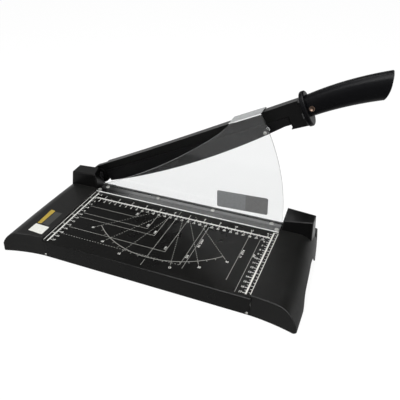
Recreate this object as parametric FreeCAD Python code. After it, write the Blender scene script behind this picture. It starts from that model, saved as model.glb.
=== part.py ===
import FreeCAD, Part
import math
import os

from FreeCAD import Placement, Rotation, Vector

# Desk guillotine paper cutter, in millimetres.
# It is drawn in a bench frame: X runs along the cut from the pivot end, Y = 0 is the cut edge with
# the user's side negative, and Z = 0 is the top of the table. The export moves the whole machine so
# that the origin is the bottom centre of its box.

# ---------------------------------------------------------------- driving dimensions
# table
TABLE_LEFT = -2.0            # left edge of the table, just outside the printed zero line
TABLE_WIDTH = 321.5
TABLE_DEPTH = 175.0          # front edge to cut edge
TABLE_HEIGHT = 30.0          # table top above the desk
SHEET = 1.5                  # folded steel sheet
SKIRT_BEND = 1.6             # outer radius of the front fold
REAR_SKIRT_DROP = 20.0

# end caps
CAP_LIFT = 3.0               # crown above the table top
CAP_GROUND_GAP = 1.2         # lower rim above the desk
CAP_WALL = 2.5
CAP_REAR = 36.0              # rear face behind the cut edge
LEFT_CAP_FLARE = 11.6        # how far the outer front corner stands forward
RIGHT_CAP_FLARE = 8.7
CAP_FRONT_LEAN = 3.5         # the front face leans back by this much from rim to crown
SHOULDER = 28.0              # sideways reach of the rounded shoulder
LEFT_CAP_WIDTH = 69.0
RIGHT_CAP_WIDTH = 63.3
LEFT_CAP_NARROWING = 6.6     # width lost from the straight front part to the rear face
RIGHT_CAP_NARROWING = 17.0
NARROWING_START = 24.0       # behind the table's front edge
CAP_CORNER = 5.0
CREASE = 1.2                 # rounding of the edge between crown and front
SOLID_REAR = 6.0             # the cap is solid from here, in front of the cut edge, to its rear face
GRIP_START = 32.0            # arched hand grip in the side wall, behind the front edge
GRIP_LENGTH = 106.0
GRIP_HEIGHT = 16.5
BOSS_R = 4.5

# pivot
PIVOT_X = -8.0
PIVOT_Z = 15.5
BOLT_R = 3.0
RUNNING_CLEARANCE = 0.05
BUSH_WALL = 1.5
EYE_R = 16.0
BRACKET_THICK = 3.0
BRACKET_REAR = -1.5
BRACKET_LEFT = -20.0
BRACKET_ABOVE = 7.0          # above the pivot's centre
THRUST_WASHER = 2.0
WASHER_R = 6.0
WASHER_GAP = 0.3
SPRING_WASHER = 1.8
NUT_HEIGHT = 5.0
NUT_ACROSS = 10.0
BOLT_HEAD_H = 3.3
BOLT_HEAD_R = 5.0
BOLT_SOCKET = 4.0

# arm, drawn level with its pivot at the origin and then raised
ARM_RAISED = 25.5            # angle of the arm's own axis above level in the open pose
CLOSING_ANGLE = 27.5         # turn from open to closed
BLADE_GAP = 0.3              # between the two blades
BLADE_THICK = 2.0
ARM_THICK = 8.0
ARM_WEB = 3.0
ARM_FLANGE = 3.0
ARM_TOP_DEPTH = 14.5         # the top flange stands out behind the channel
POCKET_END = 27.0            # solid end of the bar, where lug and tang start
ARM_PAST_LUG = -4.0          # the bar ends a little inside the handle's collar
ARM_BOTTOM = -7.0
ARM_TOP_ROOT = 16.0
ARM_TOP_END = 22.4
BLADE_START = 15.0
BLADE_OVERRUN = 25.5         # past the table's right edge
BLADE_BELLY = -22.3
BLADE_HEEL_V = -15.5
BLADE_TIP_V = -5.3
BLADE_TOP = 4.0
BLADE_SKIN = 0.5             # left in front of the blind screw holes
LUG_LENGTH = 24.5
LUG_BOTTOM = -14.5
TANG_LENGTH = 78.2
TANG_BOTTOM = 4.0
TANG_TOP = 17.0

# handle
COLLAR_CLEARANCE = 2.6       # beside the landing block when the arm is down
COLLAR_TO_LUG = 0.8
COLLAR_THICK = 7.0
COLLAR_HALF_V = 24.6
COLLAR_HALF_Y = 15.0
COLLAR_CENTRE_V = 7.2
HANDLE_LENGTH = 115.2        # collar included
GRIP_ROOT_V = 10.4           # middle of the grip at its root, above the arm's axis
GRIP_RISE = 8.5              # the middle line climbs and then droops along the grip
GRIP_DROOP = 13.8
GRIP_HALF_V = 14.8
GRIP_HALF_V_GAIN = 2.8       # gained from root to end
GRIP_HALF_Y = 9.8
GRIP_HALF_Y_GAIN = 1.8
GRIP_SECTIONS = 7
BUTT_LEAN = 22.0             # the lower corner of the butt stands back from the upper one
BUTT_BOW = 4.4
BUTT_TOP_V = 22.8
BUTT_BOTTOM_V = -10.5
BUTT_ROUNDING = 1.4
HANDLE_RIVET_R = 3.8
HANDLE_RIVET_INSET = 12.7
HANDLE_RIVET_REACH = 10.0
HANDLE_SCREW_INSET = 63.2
HANDLE_SCREW_SEAT = 8.4

# fixed blade
FIXED_BLADE_THICK = 3.0
FIXED_BLADE_HEIGHT = 16.0
FIXED_BLADE_LEFT = 4.5
FIXED_SCREWS = 5

# clamp bar and guard
CLAMP_LEFT_INSET = 2.2       # from the table's edges
CLAMP_RIGHT_INSET = 1.7
CLAMP_DEPTH = 29.6
CLAMP_BACK = -11.1
CLAMP_THICK = 2.0
CLAMP_REST_GAP = 0.3
CLAMP_LIFT = 4.0
POST_R = 1.9
POST_INSET = 4.4             # from the ends of the bar
POST_FROM_FRONT = 3.9
POST_HEAD_R = 3.2
POST_HEAD_H = 1.4
POST_CLIP_R = 3.0
POST_CLIP_THICK = 1.0
GUARD_SHEET = 1.8
GUARD_BACK = -11.1
GUARD_FOOT = 6.8
GUARD_LEFT = 4.0             # left end of the fan and its foot
GUARD_LEFT_Z = 6.8
GUARD_SCREW_Y = -16.4
GUARD_SCREW_INSET = 15.0
GUARD_SCREWS = 4
GUARD_TO_COLLAR = 51.0       # from the fan's outer edge
TAB_LENGTH = 50.5
TAB_DEPTH = 23.6
TAB_CLEARANCE = 1.8
BUTTON_INSET = 5.6
BUTTON_V = -3.6

# blocks on the end caps
BLOCK_DEPTH = 24.0
BLOCK_GAP = 0.2              # from the seam
BLOCK_SCREW_PITCH = 14.0
BLOCK_WALL = 2.5
BLOCK_ROUNDING = 2.0
LANDING_WIDTH = 46.5
# top corners of a block as (distance from the seam, height): front inner, front outer, rear inner, rear outer
LANDING_TOP = ((1.9, 19.2), (45.9, 27.6), (2.7, 30.1), (45.2, 25.5))
LANDING_SCREW_INSET = 10.0
HOUSING_OVERHANG = 1.2       # past the seam, over the table's edge
HOUSING_WIDTH = 53.0
HOUSING_TOP = ((0.4, 29.0), (46.4, 26.2), (7.0, 29.6), (46.2, 27.3))
HOUSING_SCREW_INSET = 20.5
HOUSING_CLEARANCE = 0.5      # round the bracket, the washer and the bolt's head
LEDGE_DEPTH = 14.0           # level ledge under the arm, behind the landing block
LEDGE_Z = -17.6
LEDGE_REAR_Z = -23.5         # the cap falls away to this behind the ledge
BUMPER_GAP = 0.35
EYE_POCKET_WIDTH = 29.0
EYE_POCKET_DEPTH = 24.0
EYE_POCKET_FLOOR = -5.0
REAR_OPENING = ((0.0, -2.5), (28.0, -22.9), (32.8, -23.2), (37.0, -28.0))    # y, z of its sloping floor

# frame pieces and fasteners
RAIL_THICK = 3.0
RAIL_HEIGHT = 20.0
RAIL_INSET = 12.0
RAIL_SCREW_INSET = 30.0
STIFFENER_WIDTH = 24.0
STIFFENER_DROP = 10.0
FOOT_R = 8.0
FOOT_THICK = 4.0
FOOT_D = 23.0
FOOT_FRONT_INSET = 22.0      # behind the table's front edge
FOOT_REAR_INSET = 12.0       # in front of the cap's rear face
SCREW_R = 1.6
SCREW_HEAD_R = 3.2
SCREW_HEAD_H = 1.8

# ---------------------------------------------------------------- places worked out from them
TABLE_RIGHT = TABLE_LEFT + TABLE_WIDTH
TABLE_FRONT = -TABLE_DEPTH
GRIP_FRONT = TABLE_FRONT + GRIP_START
GRIP_REAR = GRIP_FRONT + GRIP_LENGTH
FOOT_FRONT_Y = TABLE_FRONT + FOOT_FRONT_INSET
FOOT_REAR_Y = CAP_REAR - FOOT_REAR_INSET
CLAMP_LEFT = TABLE_LEFT + CLAMP_LEFT_INSET
CLAMP_RIGHT = TABLE_RIGHT - CLAMP_RIGHT_INSET
POST_Y = POST_FROM_FRONT - CLAMP_DEPTH
SEAM_REACH = TABLE_RIGHT - PIVOT_X
COLLAR_START = SEAM_REACH + BLOCK_GAP + LANDING_WIDTH + COLLAR_CLEARANCE
LUG_END = COLLAR_START - COLLAR_TO_LUG
LUG_START = LUG_END - LUG_LENGTH
ARM_END = LUG_END + ARM_PAST_LUG
BLADE_END = SEAM_REACH + BLADE_OVERRUN
TANG_END = COLLAR_START + TANG_LENGTH
HANDLE_END = COLLAR_START + HANDLE_LENGTH
HANDLE_RIVET_U = COLLAR_START + HANDLE_RIVET_INSET
HANDLE_SCREW_U = COLLAR_START + HANDLE_SCREW_INSET
GUARD_REACH = COLLAR_START - GUARD_TO_COLLAR   # the fan's outer edge is an arc about the pivot
FLOOR = -TABLE_HEIGHT
RIM = FLOOR + CAP_GROUND_GAP
SKIRT_BACK = -FIXED_BLADE_THICK
ARM_FRONT = BLADE_GAP + BLADE_THICK
ARM_BACK = ARM_FRONT + ARM_THICK
EYE_FRONT = BRACKET_REAR + THRUST_WASHER + WASHER_GAP
HANDLE_MID_Y = (ARM_FRONT + ARM_BACK) / 2
CLAMP_TOP = CLAMP_REST_GAP + CLAMP_THICK

parts = {}


# ---------------------------------------------------------------- small tools
def box(x0, x1, y0, y1, z0, z1):
    return Part.makeBox(x1 - x0, y1 - y0, z1 - z0, Vector(x0, y0, z0))


def rod(radius, start, end):
    """Round bar between two points."""
    along = end - start
    return Part.makeCylinder(radius, along.Length, start, along)


def prism(points, y0, y1):
    """Plate standing in the XZ plane: a closed outline of straight edges, from y0 to y1."""
    corners = [Vector(x, y0, z) for x, z in points]
    wire = Part.makePolygon(corners + corners[:1])
    return Part.Face(wire).extrude(Vector(0, y1 - y0, 0))


def plate(edges, thickness):
    """Plate from a closed loop of edges, extruded along Y."""
    wire = Part.Wire(Part.__sortEdges__(edges))
    return Part.Face(wire).extrude(Vector(0, thickness, 0))


def fused(shapes):
    whole = shapes[0]
    for shape in shapes[1:]:
        whole = whole.fuse(shape)
    return whole.removeSplitter()


def screw(seat, direction, length, shank_r=SCREW_R, head_r=SCREW_HEAD_R, head_h=SCREW_HEAD_H):
    """Pan-head cross screw: seat is where the underside of the head rests, direction where it goes."""
    step = Vector(direction).normalize()
    shank = rod(shank_r, seat, seat + step * length)
    head = rod(head_r, seat - step * head_h, seat)
    rim = [e for e in head.Edges if abs((e.CenterOfMass - seat).dot(step) + head_h) < 1e-6 and e.Closed]
    head = head.makeFillet(head_h * 0.45, rim)
    turn = Rotation(Vector(0, 0, 1), step)
    blade = head_r * 1.1
    recess = head_h * 0.6
    bar = head_r * 0.14
    arm_one = Part.makeBox(2 * bar, blade, recess, Vector(-bar, -blade / 2, -head_h - 0.01))
    arm_two = Part.makeBox(blade, 2 * bar, recess, Vector(-blade / 2, -bar, -head_h - 0.01))
    cross = arm_one.fuse(arm_two)
    cross.Placement = Placement(seat, turn)
    return shank.fuse(head).removeSplitter().cut(cross)


def spread(first, last, count):
    """Evenly spaced places from first to last."""
    return [first + (last - first) * i / (count - 1) for i in range(count)]


# ---------------------------------------------------------------- end caps
def cap_width(y, full_width, narrowing):
    """The width is full at the front and falls off as a parabola towards the rear face."""
    start = TABLE_FRONT + NARROWING_START
    back = max(0.0, y - start) / (CAP_REAR - start)
    return full_width - narrowing * back ** 2


def cap_section(y, width, inset, low):
    """Cap outline across the cut: flat crown, quarter-ellipse shoulder, open side at the seam."""
    top = CAP_LIFT - inset
    reach = SHOULDER - inset
    drop = top - RIM
    flat_end = width - SHOULDER
    shoulder = []
    for step in range(0, 7):
        t = math.radians(15 * step)
        shoulder.append(Vector(flat_end + reach * math.sin(t), y, RIM + drop * math.cos(t)))
    curve = Part.BSplineCurve()
    curve.interpolate(shoulder)
    low_inner = Vector(inset, y, low)
    top_inner = Vector(inset, y, top)
    low_outer = Vector(flat_end + reach, y, low)
    edges = [
        Part.makeLine(low_inner, top_inner),
        Part.makeLine(top_inner, shoulder[0]),
        curve.toShape(),
    ]
    if low < RIM - 1e-6:
        edges.append(Part.makeLine(shoulder[-1], low_outer))
    edges.append(Part.makeLine(low_outer, low_inner))
    return Part.Wire(edges)


def cap_loft(full_width, narrowing, inset, low):
    stations = spread(TABLE_FRONT - LEFT_CAP_FLARE - 7, CAP_REAR + 8, 7)
    wires = [cap_section(y, cap_width(y, full_width, narrowing), inset, low) for y in stations]
    return Part.makeLoft(wires, True, False)


def cap_outline(full_width, narrowing, flare, inset, rear, z):
    """The cap's plan at one height: a bowed, flared front that leans back, and rounded outer corners."""
    front = TABLE_FRONT + inset + CAP_FRONT_LEAN * (z - RIM) / (CAP_LIFT - RIM)
    outer_front = front - flare
    side = full_width - inset + 0.4
    radius = CAP_CORNER - inset
    slant = radius * (1 - math.sqrt(0.5))
    inner = Vector(inset, front, z)
    middle = Vector(full_width * 0.5, front - flare * 0.36, z)
    corner_start = Vector(side - radius, outer_front, z)
    corner_mid = Vector(side - slant, outer_front + slant, z)
    corner_end = Vector(side, outer_front + radius, z)
    rear_side = cap_width(rear - radius, full_width, narrowing) - inset
    shelf = Vector(side, rear - radius, z)
    rear_start = Vector(rear_side, rear - radius, z)
    rear_mid = Vector(rear_side - slant - 0.2, rear - slant, z)
    rear_end = Vector(rear_side - radius - 0.6, rear, z)
    rear_inner = Vector(inset, rear, z)
    edges = [
        Part.Arc(inner, middle, corner_start).toShape(),
        Part.Arc(corner_start, corner_mid, corner_end).toShape(),
        Part.makeLine(corner_end, shelf),
        Part.makeLine(shelf, rear_start),
        Part.Arc(rear_start, rear_mid, rear_end).toShape(),
        Part.makeLine(rear_end, rear_inner),
        Part.makeLine(rear_inner, inner),
    ]
    return Part.Wire(edges)


def cap_plan(full_width, narrowing, flare, inset, rear):
    """Solid over the cap's plan, ruled from below the rim to above the crown."""
    heights = (RIM - 5, CAP_LIFT + 5)
    wires = [cap_outline(full_width, narrowing, flare, inset, rear, z) for z in heights]
    return Part.makeLoft(wires, True, True)


def grip_cutter(full_width):
    """Arch through the outer side wall, steep at the rear and long at the front."""
    low = RIM - 5
    crest = RIM + GRIP_HEIGHT
    inner = full_width - SHOULDER + 4
    length = GRIP_REAR - GRIP_FRONT
    start = Vector(inner, GRIP_FRONT, low)
    end = Vector(inner, GRIP_REAR, low)
    curve = Part.BSplineCurve()
    curve.interpolate([
        Vector(inner, GRIP_FRONT, RIM),
        Vector(inner, GRIP_FRONT + 0.10 * length, RIM + 0.62 * GRIP_HEIGHT),
        Vector(inner, GRIP_FRONT + 0.32 * length, crest - 0.08 * GRIP_HEIGHT),
        Vector(inner, GRIP_FRONT + 0.62 * length, crest),
        Vector(inner, GRIP_FRONT + 0.90 * length, RIM + 0.78 * GRIP_HEIGHT),
        Vector(inner, GRIP_REAR, RIM),
    ])
    edges = [
        Part.makeLine(start, Vector(inner, GRIP_FRONT, RIM)),
        curve.toShape(),
        Part.makeLine(Vector(inner, GRIP_REAR, RIM), end),
        Part.makeLine(end, start),
    ]
    return Part.Face(Part.Wire(edges)).extrude(Vector(SHOULDER + 20, 0, 0))


def cap_outer(full_width, narrowing, flare):
    """Solid outer form of a cap, drawn outwards along +X from the seam."""
    body = cap_loft(full_width, narrowing, 0.0, RIM)
    body = body.common(cap_plan(full_width, narrowing, flare, 0.0, CAP_REAR)).Solids[0]
    crease = []
    for edge in body.Edges:
        place = edge.CenterOfMass
        if place.y < TABLE_FRONT + CAP_FRONT_LEAN and place.z > RIM + 2 and edge.BoundBox.XLength > 8:
            crease.append(edge)
    return body.makeFillet(CREASE, crease)


def rail_screw_places():
    return spread(TABLE_FRONT + RAIL_SCREW_INSET, SKIRT_BACK - RAIL_SCREW_INSET - RAIL_INSET, 3)


def end_cap(outer, full_width, narrowing, flare):
    """Moulded shell with bosses for the feet and a solid rear part that carries the arm's end."""
    hollow = cap_loft(full_width, narrowing, CAP_WALL, RIM - 1)
    hollow = hollow.common(cap_plan(full_width, narrowing, flare, CAP_WALL, -SOLID_REAR))
    shell = outer.cut(hollow)
    boss = rod(FOOT_R + 1, Vector(FOOT_D, FOOT_FRONT_Y, RIM), Vector(FOOT_D, FOOT_FRONT_Y, CAP_LIFT - 1))
    shell = shell.fuse(boss.common(outer))
    for y in (FOOT_FRONT_Y, FOOT_REAR_Y):
        seat = Vector(FOOT_D, y, FLOOR)
        shell = shell.cut(rod(FOOT_R, seat, Vector(FOOT_D, y, FLOOR + FOOT_THICK)))
        shell = shell.cut(rod(SCREW_R, seat, Vector(FOOT_D, y, FLOOR + FOOT_THICK + 4)))
    for y in rail_screw_places():
        z = -RAIL_HEIGHT / 2 - SHEET
        shell = shell.cut(rod(SCREW_R, Vector(-1, y, z), Vector(CAP_WALL + 1, y, z)))
    return shell.cut(grip_cutter(full_width)).removeSplitter()


def to_left(shape):
    """A cap drawn outwards along +X, mirrored to the pivot end."""
    flipped = shape.mirror(Vector(0, 0, 0), Vector(1, 0, 0))
    flipped.translate(Vector(TABLE_LEFT, 0, 0))
    return flipped


def to_right(shape):
    moved = shape.copy()
    moved.translate(Vector(TABLE_RIGHT, 0, 0))
    return moved


def block_form(inset, inner, width, top, low):
    """Block with a twisted top and leaning sides: ruled from its front outline to its rear one."""
    outlines = []
    for y, inner_corner, outer_corner in (
        (-BLOCK_DEPTH + inset, top[0], top[1]),
        (-inset, top[2], top[3]),
    ):
        inner_x, inner_z = inner_corner
        outer_x, outer_z = outer_corner
        low_inner = inner + (inner_x - inner) * low / inner_z
        low_outer = inner + width + (outer_x - inner - width) * low / outer_z
        corners = [
            Vector(low_inner + inset, y, low),
            Vector(low_outer - inset, y, low),
            Vector(outer_x - inset, y, outer_z - inset),
            Vector(inner_x + inset, y, inner_z - inset),
        ]
        outlines.append(Part.makePolygon(corners + corners[:1]))
    return Part.makeLoft(outlines, True, True)


def block_screw_places(first):
    return [(first, -BLOCK_DEPTH / 2), (first + BLOCK_SCREW_PITCH, -BLOCK_DEPTH / 2)]


def hollow_block(outer_cap, inner, width, top, screw_places):
    """Block moulding that sits on the cap's crown, with two screw bosses inside."""
    block = block_form(0.0, inner, width, top, RIM + 8)
    heights = [corner[1] for corner in top]
    edges = []
    for edge in block.Edges:
        middle = edge.CenterOfMass
        if middle.z > min(heights) - 2 or (edge.BoundBox.ZLength > 20 and middle.y < -2):
            edges.append(edge)
    block = block.makeFillet(BLOCK_ROUNDING, edges)
    hollow = block_form(BLOCK_WALL, inner, width, top, RIM + 7)
    bosses = []
    for x, y in screw_places:
        bosses.append(rod(BOSS_R, Vector(x, y, RIM + 8), Vector(x, y, max(heights))).common(block))
    hollow = hollow.cut(fused(bosses))
    block = block.cut(hollow).cut(outer_cap)
    for x, y in screw_places:
        block = block.cut(rod(SCREW_R, Vector(x, y, 0), Vector(x, y, CAP_LIFT + 9)))
    over_table = box(inner - 15, BLOCK_GAP, -BLOCK_DEPTH - 1, 1, FLOOR, BLOCK_GAP)
    return block.cut(over_table).removeSplitter()


def block_screws(screw_places):
    found = []
    for x, y in screw_places:
        seat = Vector(x, y, CAP_LIFT - CAP_WALL)
        found.append(screw(seat, Vector(0, 0, 1), CAP_WALL + 8))
    return found


def drilled_for_block(cap, screw_places):
    for x, y in screw_places:
        cap = cap.cut(rod(SCREW_R, Vector(x, y, -8), Vector(x, y, CAP_LIFT + 1)))
    return cap


left_form = cap_outer(LEFT_CAP_WIDTH, LEFT_CAP_NARROWING, LEFT_CAP_FLARE)
right_form = cap_outer(RIGHT_CAP_WIDTH, RIGHT_CAP_NARROWING, RIGHT_CAP_FLARE)
left_cap = end_cap(left_form, LEFT_CAP_WIDTH, LEFT_CAP_NARROWING, LEFT_CAP_FLARE)
right_cap = end_cap(right_form, RIGHT_CAP_WIDTH, RIGHT_CAP_NARROWING, RIGHT_CAP_FLARE)

# pocket for the arm's eye and slot for the bracket, in the cap's own frame
eye_pocket = box(-1, EYE_POCKET_WIDTH, 0, EYE_POCKET_DEPTH, EYE_POCKET_FLOOR, 40)
bracket_slot_end = TABLE_LEFT - BRACKET_LEFT
bracket_slot = box(-1, bracket_slot_end, BRACKET_REAR - BRACKET_THICK, 0, FLOOR, 40)
rear_opening = [(0.0, 40.0)] + list(REAR_OPENING) + [(CAP_REAR + 1, 40.0)]
rear_outline = Part.makePolygon([Vector(-1, y, z) for y, z in rear_opening + rear_opening[:1]])
rear_cut = Part.Face(rear_outline).extrude(Vector(EYE_POCKET_WIDTH + 1, 0, 0))
left_cap = left_cap.cut(eye_pocket).cut(bracket_slot).cut(rear_cut)
housing_places = block_screw_places(HOUSING_SCREW_INSET)
landing_places = block_screw_places(LANDING_SCREW_INSET)
left_cap = drilled_for_block(left_cap, housing_places)
ledge = [
    (0, 40),
    (0, LEDGE_Z),
    (LEDGE_DEPTH, LEDGE_Z),
    (CAP_REAR + 1, LEDGE_REAR_Z),
    (CAP_REAR + 1, 40),
]
ledge_outline = Part.makePolygon([Vector(-1, y, z) for y, z in ledge + ledge[:1]])
above_ledge = Part.Face(ledge_outline).extrude(Vector(RIGHT_CAP_WIDTH + 6, 0, 0))
right_cap = drilled_for_block(right_cap.cut(above_ledge), landing_places)
housing = hollow_block(left_form, -HOUSING_OVERHANG, HOUSING_WIDTH, HOUSING_TOP, housing_places)
landing = hollow_block(right_form, BLOCK_GAP, LANDING_WIDTH, LANDING_TOP, landing_places)
parts["left_end_cap"] = to_left(left_cap)
parts["right_end_cap"] = to_right(right_cap)
parts["pivot_housing"] = to_left(housing)
parts["landing_block"] = to_right(landing)
parts["housing_screws"] = Part.makeCompound([to_left(s) for s in block_screws(housing_places)])
parts["landing_block_screws"] = Part.makeCompound([to_right(s) for s in block_screws(landing_places)])


# ---------------------------------------------------------------- table
def post_places():
    return [(CLAMP_LEFT + POST_INSET, POST_Y), (CLAMP_RIGHT - POST_INSET, POST_Y)]


def fixed_screw_places():
    return spread(FIXED_BLADE_LEFT + 18, TABLE_RIGHT - 20, FIXED_SCREWS)


def table():
    """Folded sheet: top, tall front skirt and short rear skirt that carries the fixed blade."""
    outer = box(TABLE_LEFT, TABLE_RIGHT, -TABLE_DEPTH, SKIRT_BACK, RIM, 0)
    fold = []
    for edge in outer.Edges:
        middle = edge.CenterOfMass
        if abs(middle.y - TABLE_FRONT) < 1e-6 and abs(middle.z) < 1e-6:
            fold.append(edge)
    outer = outer.makeFillet(SKIRT_BEND, fold)
    inner = box(TABLE_LEFT - 1, TABLE_RIGHT + 1, -TABLE_DEPTH + SHEET, SKIRT_BACK - SHEET, RIM - 1, -SHEET)
    below_rear = box(TABLE_LEFT - 1, TABLE_RIGHT + 1, SKIRT_BACK - SHEET - 1, 1, RIM - 1, -REAR_SKIRT_DROP)
    sheet = outer.cut(inner).cut(below_rear)
    for x, y in post_places():
        sheet = sheet.cut(rod(POST_R + RUNNING_CLEARANCE, Vector(x, y, -5), Vector(x, y, 5)))
    z = -FIXED_BLADE_HEIGHT / 2
    for x in fixed_screw_places():
        sheet = sheet.cut(rod(SCREW_R, Vector(x, SKIRT_BACK - SHEET - 1, z), Vector(x, 1, z)))
    for x in skirt_rivet_places():
        z = RIM + 3.2
        hole = rod(SCREW_R, Vector(x, TABLE_FRONT - 1, z), Vector(x, TABLE_FRONT + SHEET + 1, z))
        sheet = sheet.cut(hole)
    return sheet


def skirt_rivet_places():
    return [TABLE_LEFT + 2.6, TABLE_RIGHT - 3.4]


def fixed_blade():
    blade = box(FIXED_BLADE_LEFT, TABLE_RIGHT - 0.2, SKIRT_BACK, 0, -FIXED_BLADE_HEIGHT, 0)
    z = -FIXED_BLADE_HEIGHT / 2
    for x in fixed_screw_places():
        blade = blade.cut(rod(SCREW_R, Vector(x, SKIRT_BACK - 1, z), Vector(x, -0.6, z)))
    return blade


def side_rail(x0, x1):
    """Flat bar under the table's end, tapped for the screws that hold the cap."""
    y0 = TABLE_FRONT + RAIL_INSET
    y1 = SKIRT_BACK - SHEET - RAIL_INSET
    bar = box(x0, x1, y0, y1, -SHEET - RAIL_HEIGHT, -SHEET)
    z = -RAIL_HEIGHT / 2 - SHEET
    for y in rail_screw_places():
        bar = bar.cut(rod(SCREW_R, Vector(x0 - 1, y, z), Vector(x1 + 1, y, z)))
    return bar


def stiffener():
    """Hat-section rib under the middle of the table."""
    middle = -TABLE_DEPTH / 2
    half = STIFFENER_WIDTH / 2
    x0 = TABLE_LEFT + RAIL_THICK
    x1 = TABLE_RIGHT - RAIL_THICK
    low = -SHEET - STIFFENER_DROP
    hat = box(x0, x1, middle - half, middle + half, low, -SHEET)
    hollow = box(x0 - 1, x1 + 1, middle - half + SHEET, middle + half - SHEET, low + SHEET, 0)
    flange_one = box(x0, x1, middle - half - 8, middle - half, -2 * SHEET, -SHEET)
    flange_two = box(x0, x1, middle + half, middle + half + 8, -2 * SHEET, -SHEET)
    return fused([hat.cut(hollow), flange_one, flange_two])


def rail_screws():
    z = -RAIL_HEIGHT / 2 - SHEET
    found = []
    for y in rail_screw_places():
        left_seat = Vector(TABLE_LEFT - CAP_WALL, y, z)
        right_seat = Vector(TABLE_RIGHT + CAP_WALL, y, z)
        found.append(screw(left_seat, Vector(1, 0, 0), CAP_WALL + RAIL_THICK))
        found.append(screw(right_seat, Vector(-1, 0, 0), CAP_WALL + RAIL_THICK))
    return found


def skirt_rivets():
    found = []
    for x in skirt_rivet_places():
        seat = Vector(x, -TABLE_DEPTH, RIM + 3.2)
        found.append(screw(seat, Vector(0, 1, 0), SHEET + 3, SCREW_R, 2.0, 0.9))
    return found


parts["table"] = table()
parts["fixed_blade"] = fixed_blade()
blade_seat_y = SKIRT_BACK - SHEET
fixed_z = -FIXED_BLADE_HEIGHT / 2
fixed_blade_screws = []
for x in fixed_screw_places():
    fixed_blade_screws.append(screw(Vector(x, blade_seat_y, fixed_z), Vector(0, 1, 0), SHEET + 2.2))
parts["fixed_blade_screws"] = Part.makeCompound(fixed_blade_screws)
parts["left_side_rail"] = side_rail(TABLE_LEFT, TABLE_LEFT + RAIL_THICK)
parts["right_side_rail"] = side_rail(TABLE_RIGHT - RAIL_THICK, TABLE_RIGHT)
parts["table_stiffener"] = stiffener()
parts["end_cap_screws"] = Part.makeCompound(rail_screws())
parts["skirt_rivets"] = Part.makeCompound(skirt_rivets())


# ---------------------------------------------------------------- feet
def foot_places():
    places = []
    for y in (FOOT_FRONT_Y, FOOT_REAR_Y):
        places.append((TABLE_LEFT - FOOT_D, y))
        places.append((TABLE_RIGHT + FOOT_D, y))
    return places


feet = []
foot_screws = []
for x, y in foot_places():
    pad = rod(FOOT_R, Vector(x, y, FLOOR), Vector(x, y, FLOOR + FOOT_THICK))
    low_rim = [e for e in pad.Edges if e.Closed and abs(e.CenterOfMass.z - FLOOR) < 1e-6]
    pad = pad.makeFillet(0.8, low_rim)
    pad = pad.cut(rod(SCREW_HEAD_R + 0.6, Vector(x, y, FLOOR - 1), Vector(x, y, FLOOR + 2.2)))
    pad = pad.cut(rod(SCREW_R, Vector(x, y, FLOOR), Vector(x, y, FLOOR + FOOT_THICK + 1)))
    feet.append(pad)
    foot_screws.append(screw(Vector(x, y, FLOOR + 2.2), Vector(0, 0, 1), FOOT_THICK + 1.2))
parts["rubber_feet"] = Part.makeCompound(feet)
parts["foot_screws"] = Part.makeCompound(foot_screws)


# ---------------------------------------------------------------- pivot
def axis_point(y):
    return Vector(PIVOT_X, y, PIVOT_Z)


def ring(outer_r, inner_r, y0, y1):
    bore = rod(inner_r, axis_point(y0 - 1), axis_point(y1 + 1))
    return rod(outer_r, axis_point(y0), axis_point(y1)).cut(bore)


def hexagon(across, y0, y1):
    radius = across / math.sqrt(3)
    corners = []
    for side in range(6):
        t = math.radians(60 * side + 30)
        corners.append((PIVOT_X + radius * math.cos(t), PIVOT_Z + radius * math.sin(t)))
    return prism(corners, y0, y1)


bracket_front = BRACKET_REAR - BRACKET_THICK
bracket_right = TABLE_LEFT - 0.3
bracket_top = PIVOT_Z + BRACKET_ABOVE
bracket_plate = box(BRACKET_LEFT, bracket_right, bracket_front, BRACKET_REAR, FLOOR + 6, bracket_top)
top_corners = [e for e in bracket_plate.Edges if e.BoundBox.YLength > 1 and e.CenterOfMass.z > PIVOT_Z]
bracket_plate = bracket_plate.makeFillet(3.0, top_corners)
bracket_foot_y = -34.0
foot_right = TABLE_LEFT - CAP_WALL - 0.4
foot_top = FLOOR + 6 + BRACKET_THICK
bracket_foot = box(BRACKET_LEFT, foot_right, bracket_foot_y, BRACKET_REAR, FLOOR + 6, foot_top)
bracket = fused([bracket_plate, bracket_foot])
bracket = bracket.cut(rod(BOLT_R, axis_point(-20), axis_point(5)))
bracket_fixing_x = (BRACKET_LEFT + TABLE_LEFT - CAP_WALL) / 2
bracket_fix_places = [(bracket_fixing_x, -28.0), (bracket_fixing_x, -14.0)]
for x, y in bracket_fix_places:
    bracket = bracket.cut(rod(SCREW_R, Vector(x, y, FLOOR), Vector(x, y, FLOOR + 20)))
parts["pivot_bracket"] = bracket

# the housing clears the bracket, the thrust washer and the bolt's head
room = HOUSING_CLEARANCE
washer_room = rod(WASHER_R + room, axis_point(bracket_front), axis_point(1))
head_room = rod(BOLT_HEAD_R + room, axis_point(bracket_front - BOLT_HEAD_H - room), axis_point(0))
plate_left = BRACKET_LEFT - room
plate_room = box(plate_left, bracket_right + room, bracket_front - room, 1, FLOOR, bracket_top + room)
parts["pivot_housing"] = parts["pivot_housing"].cut(fused([washer_room, head_room, plate_room]))

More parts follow.
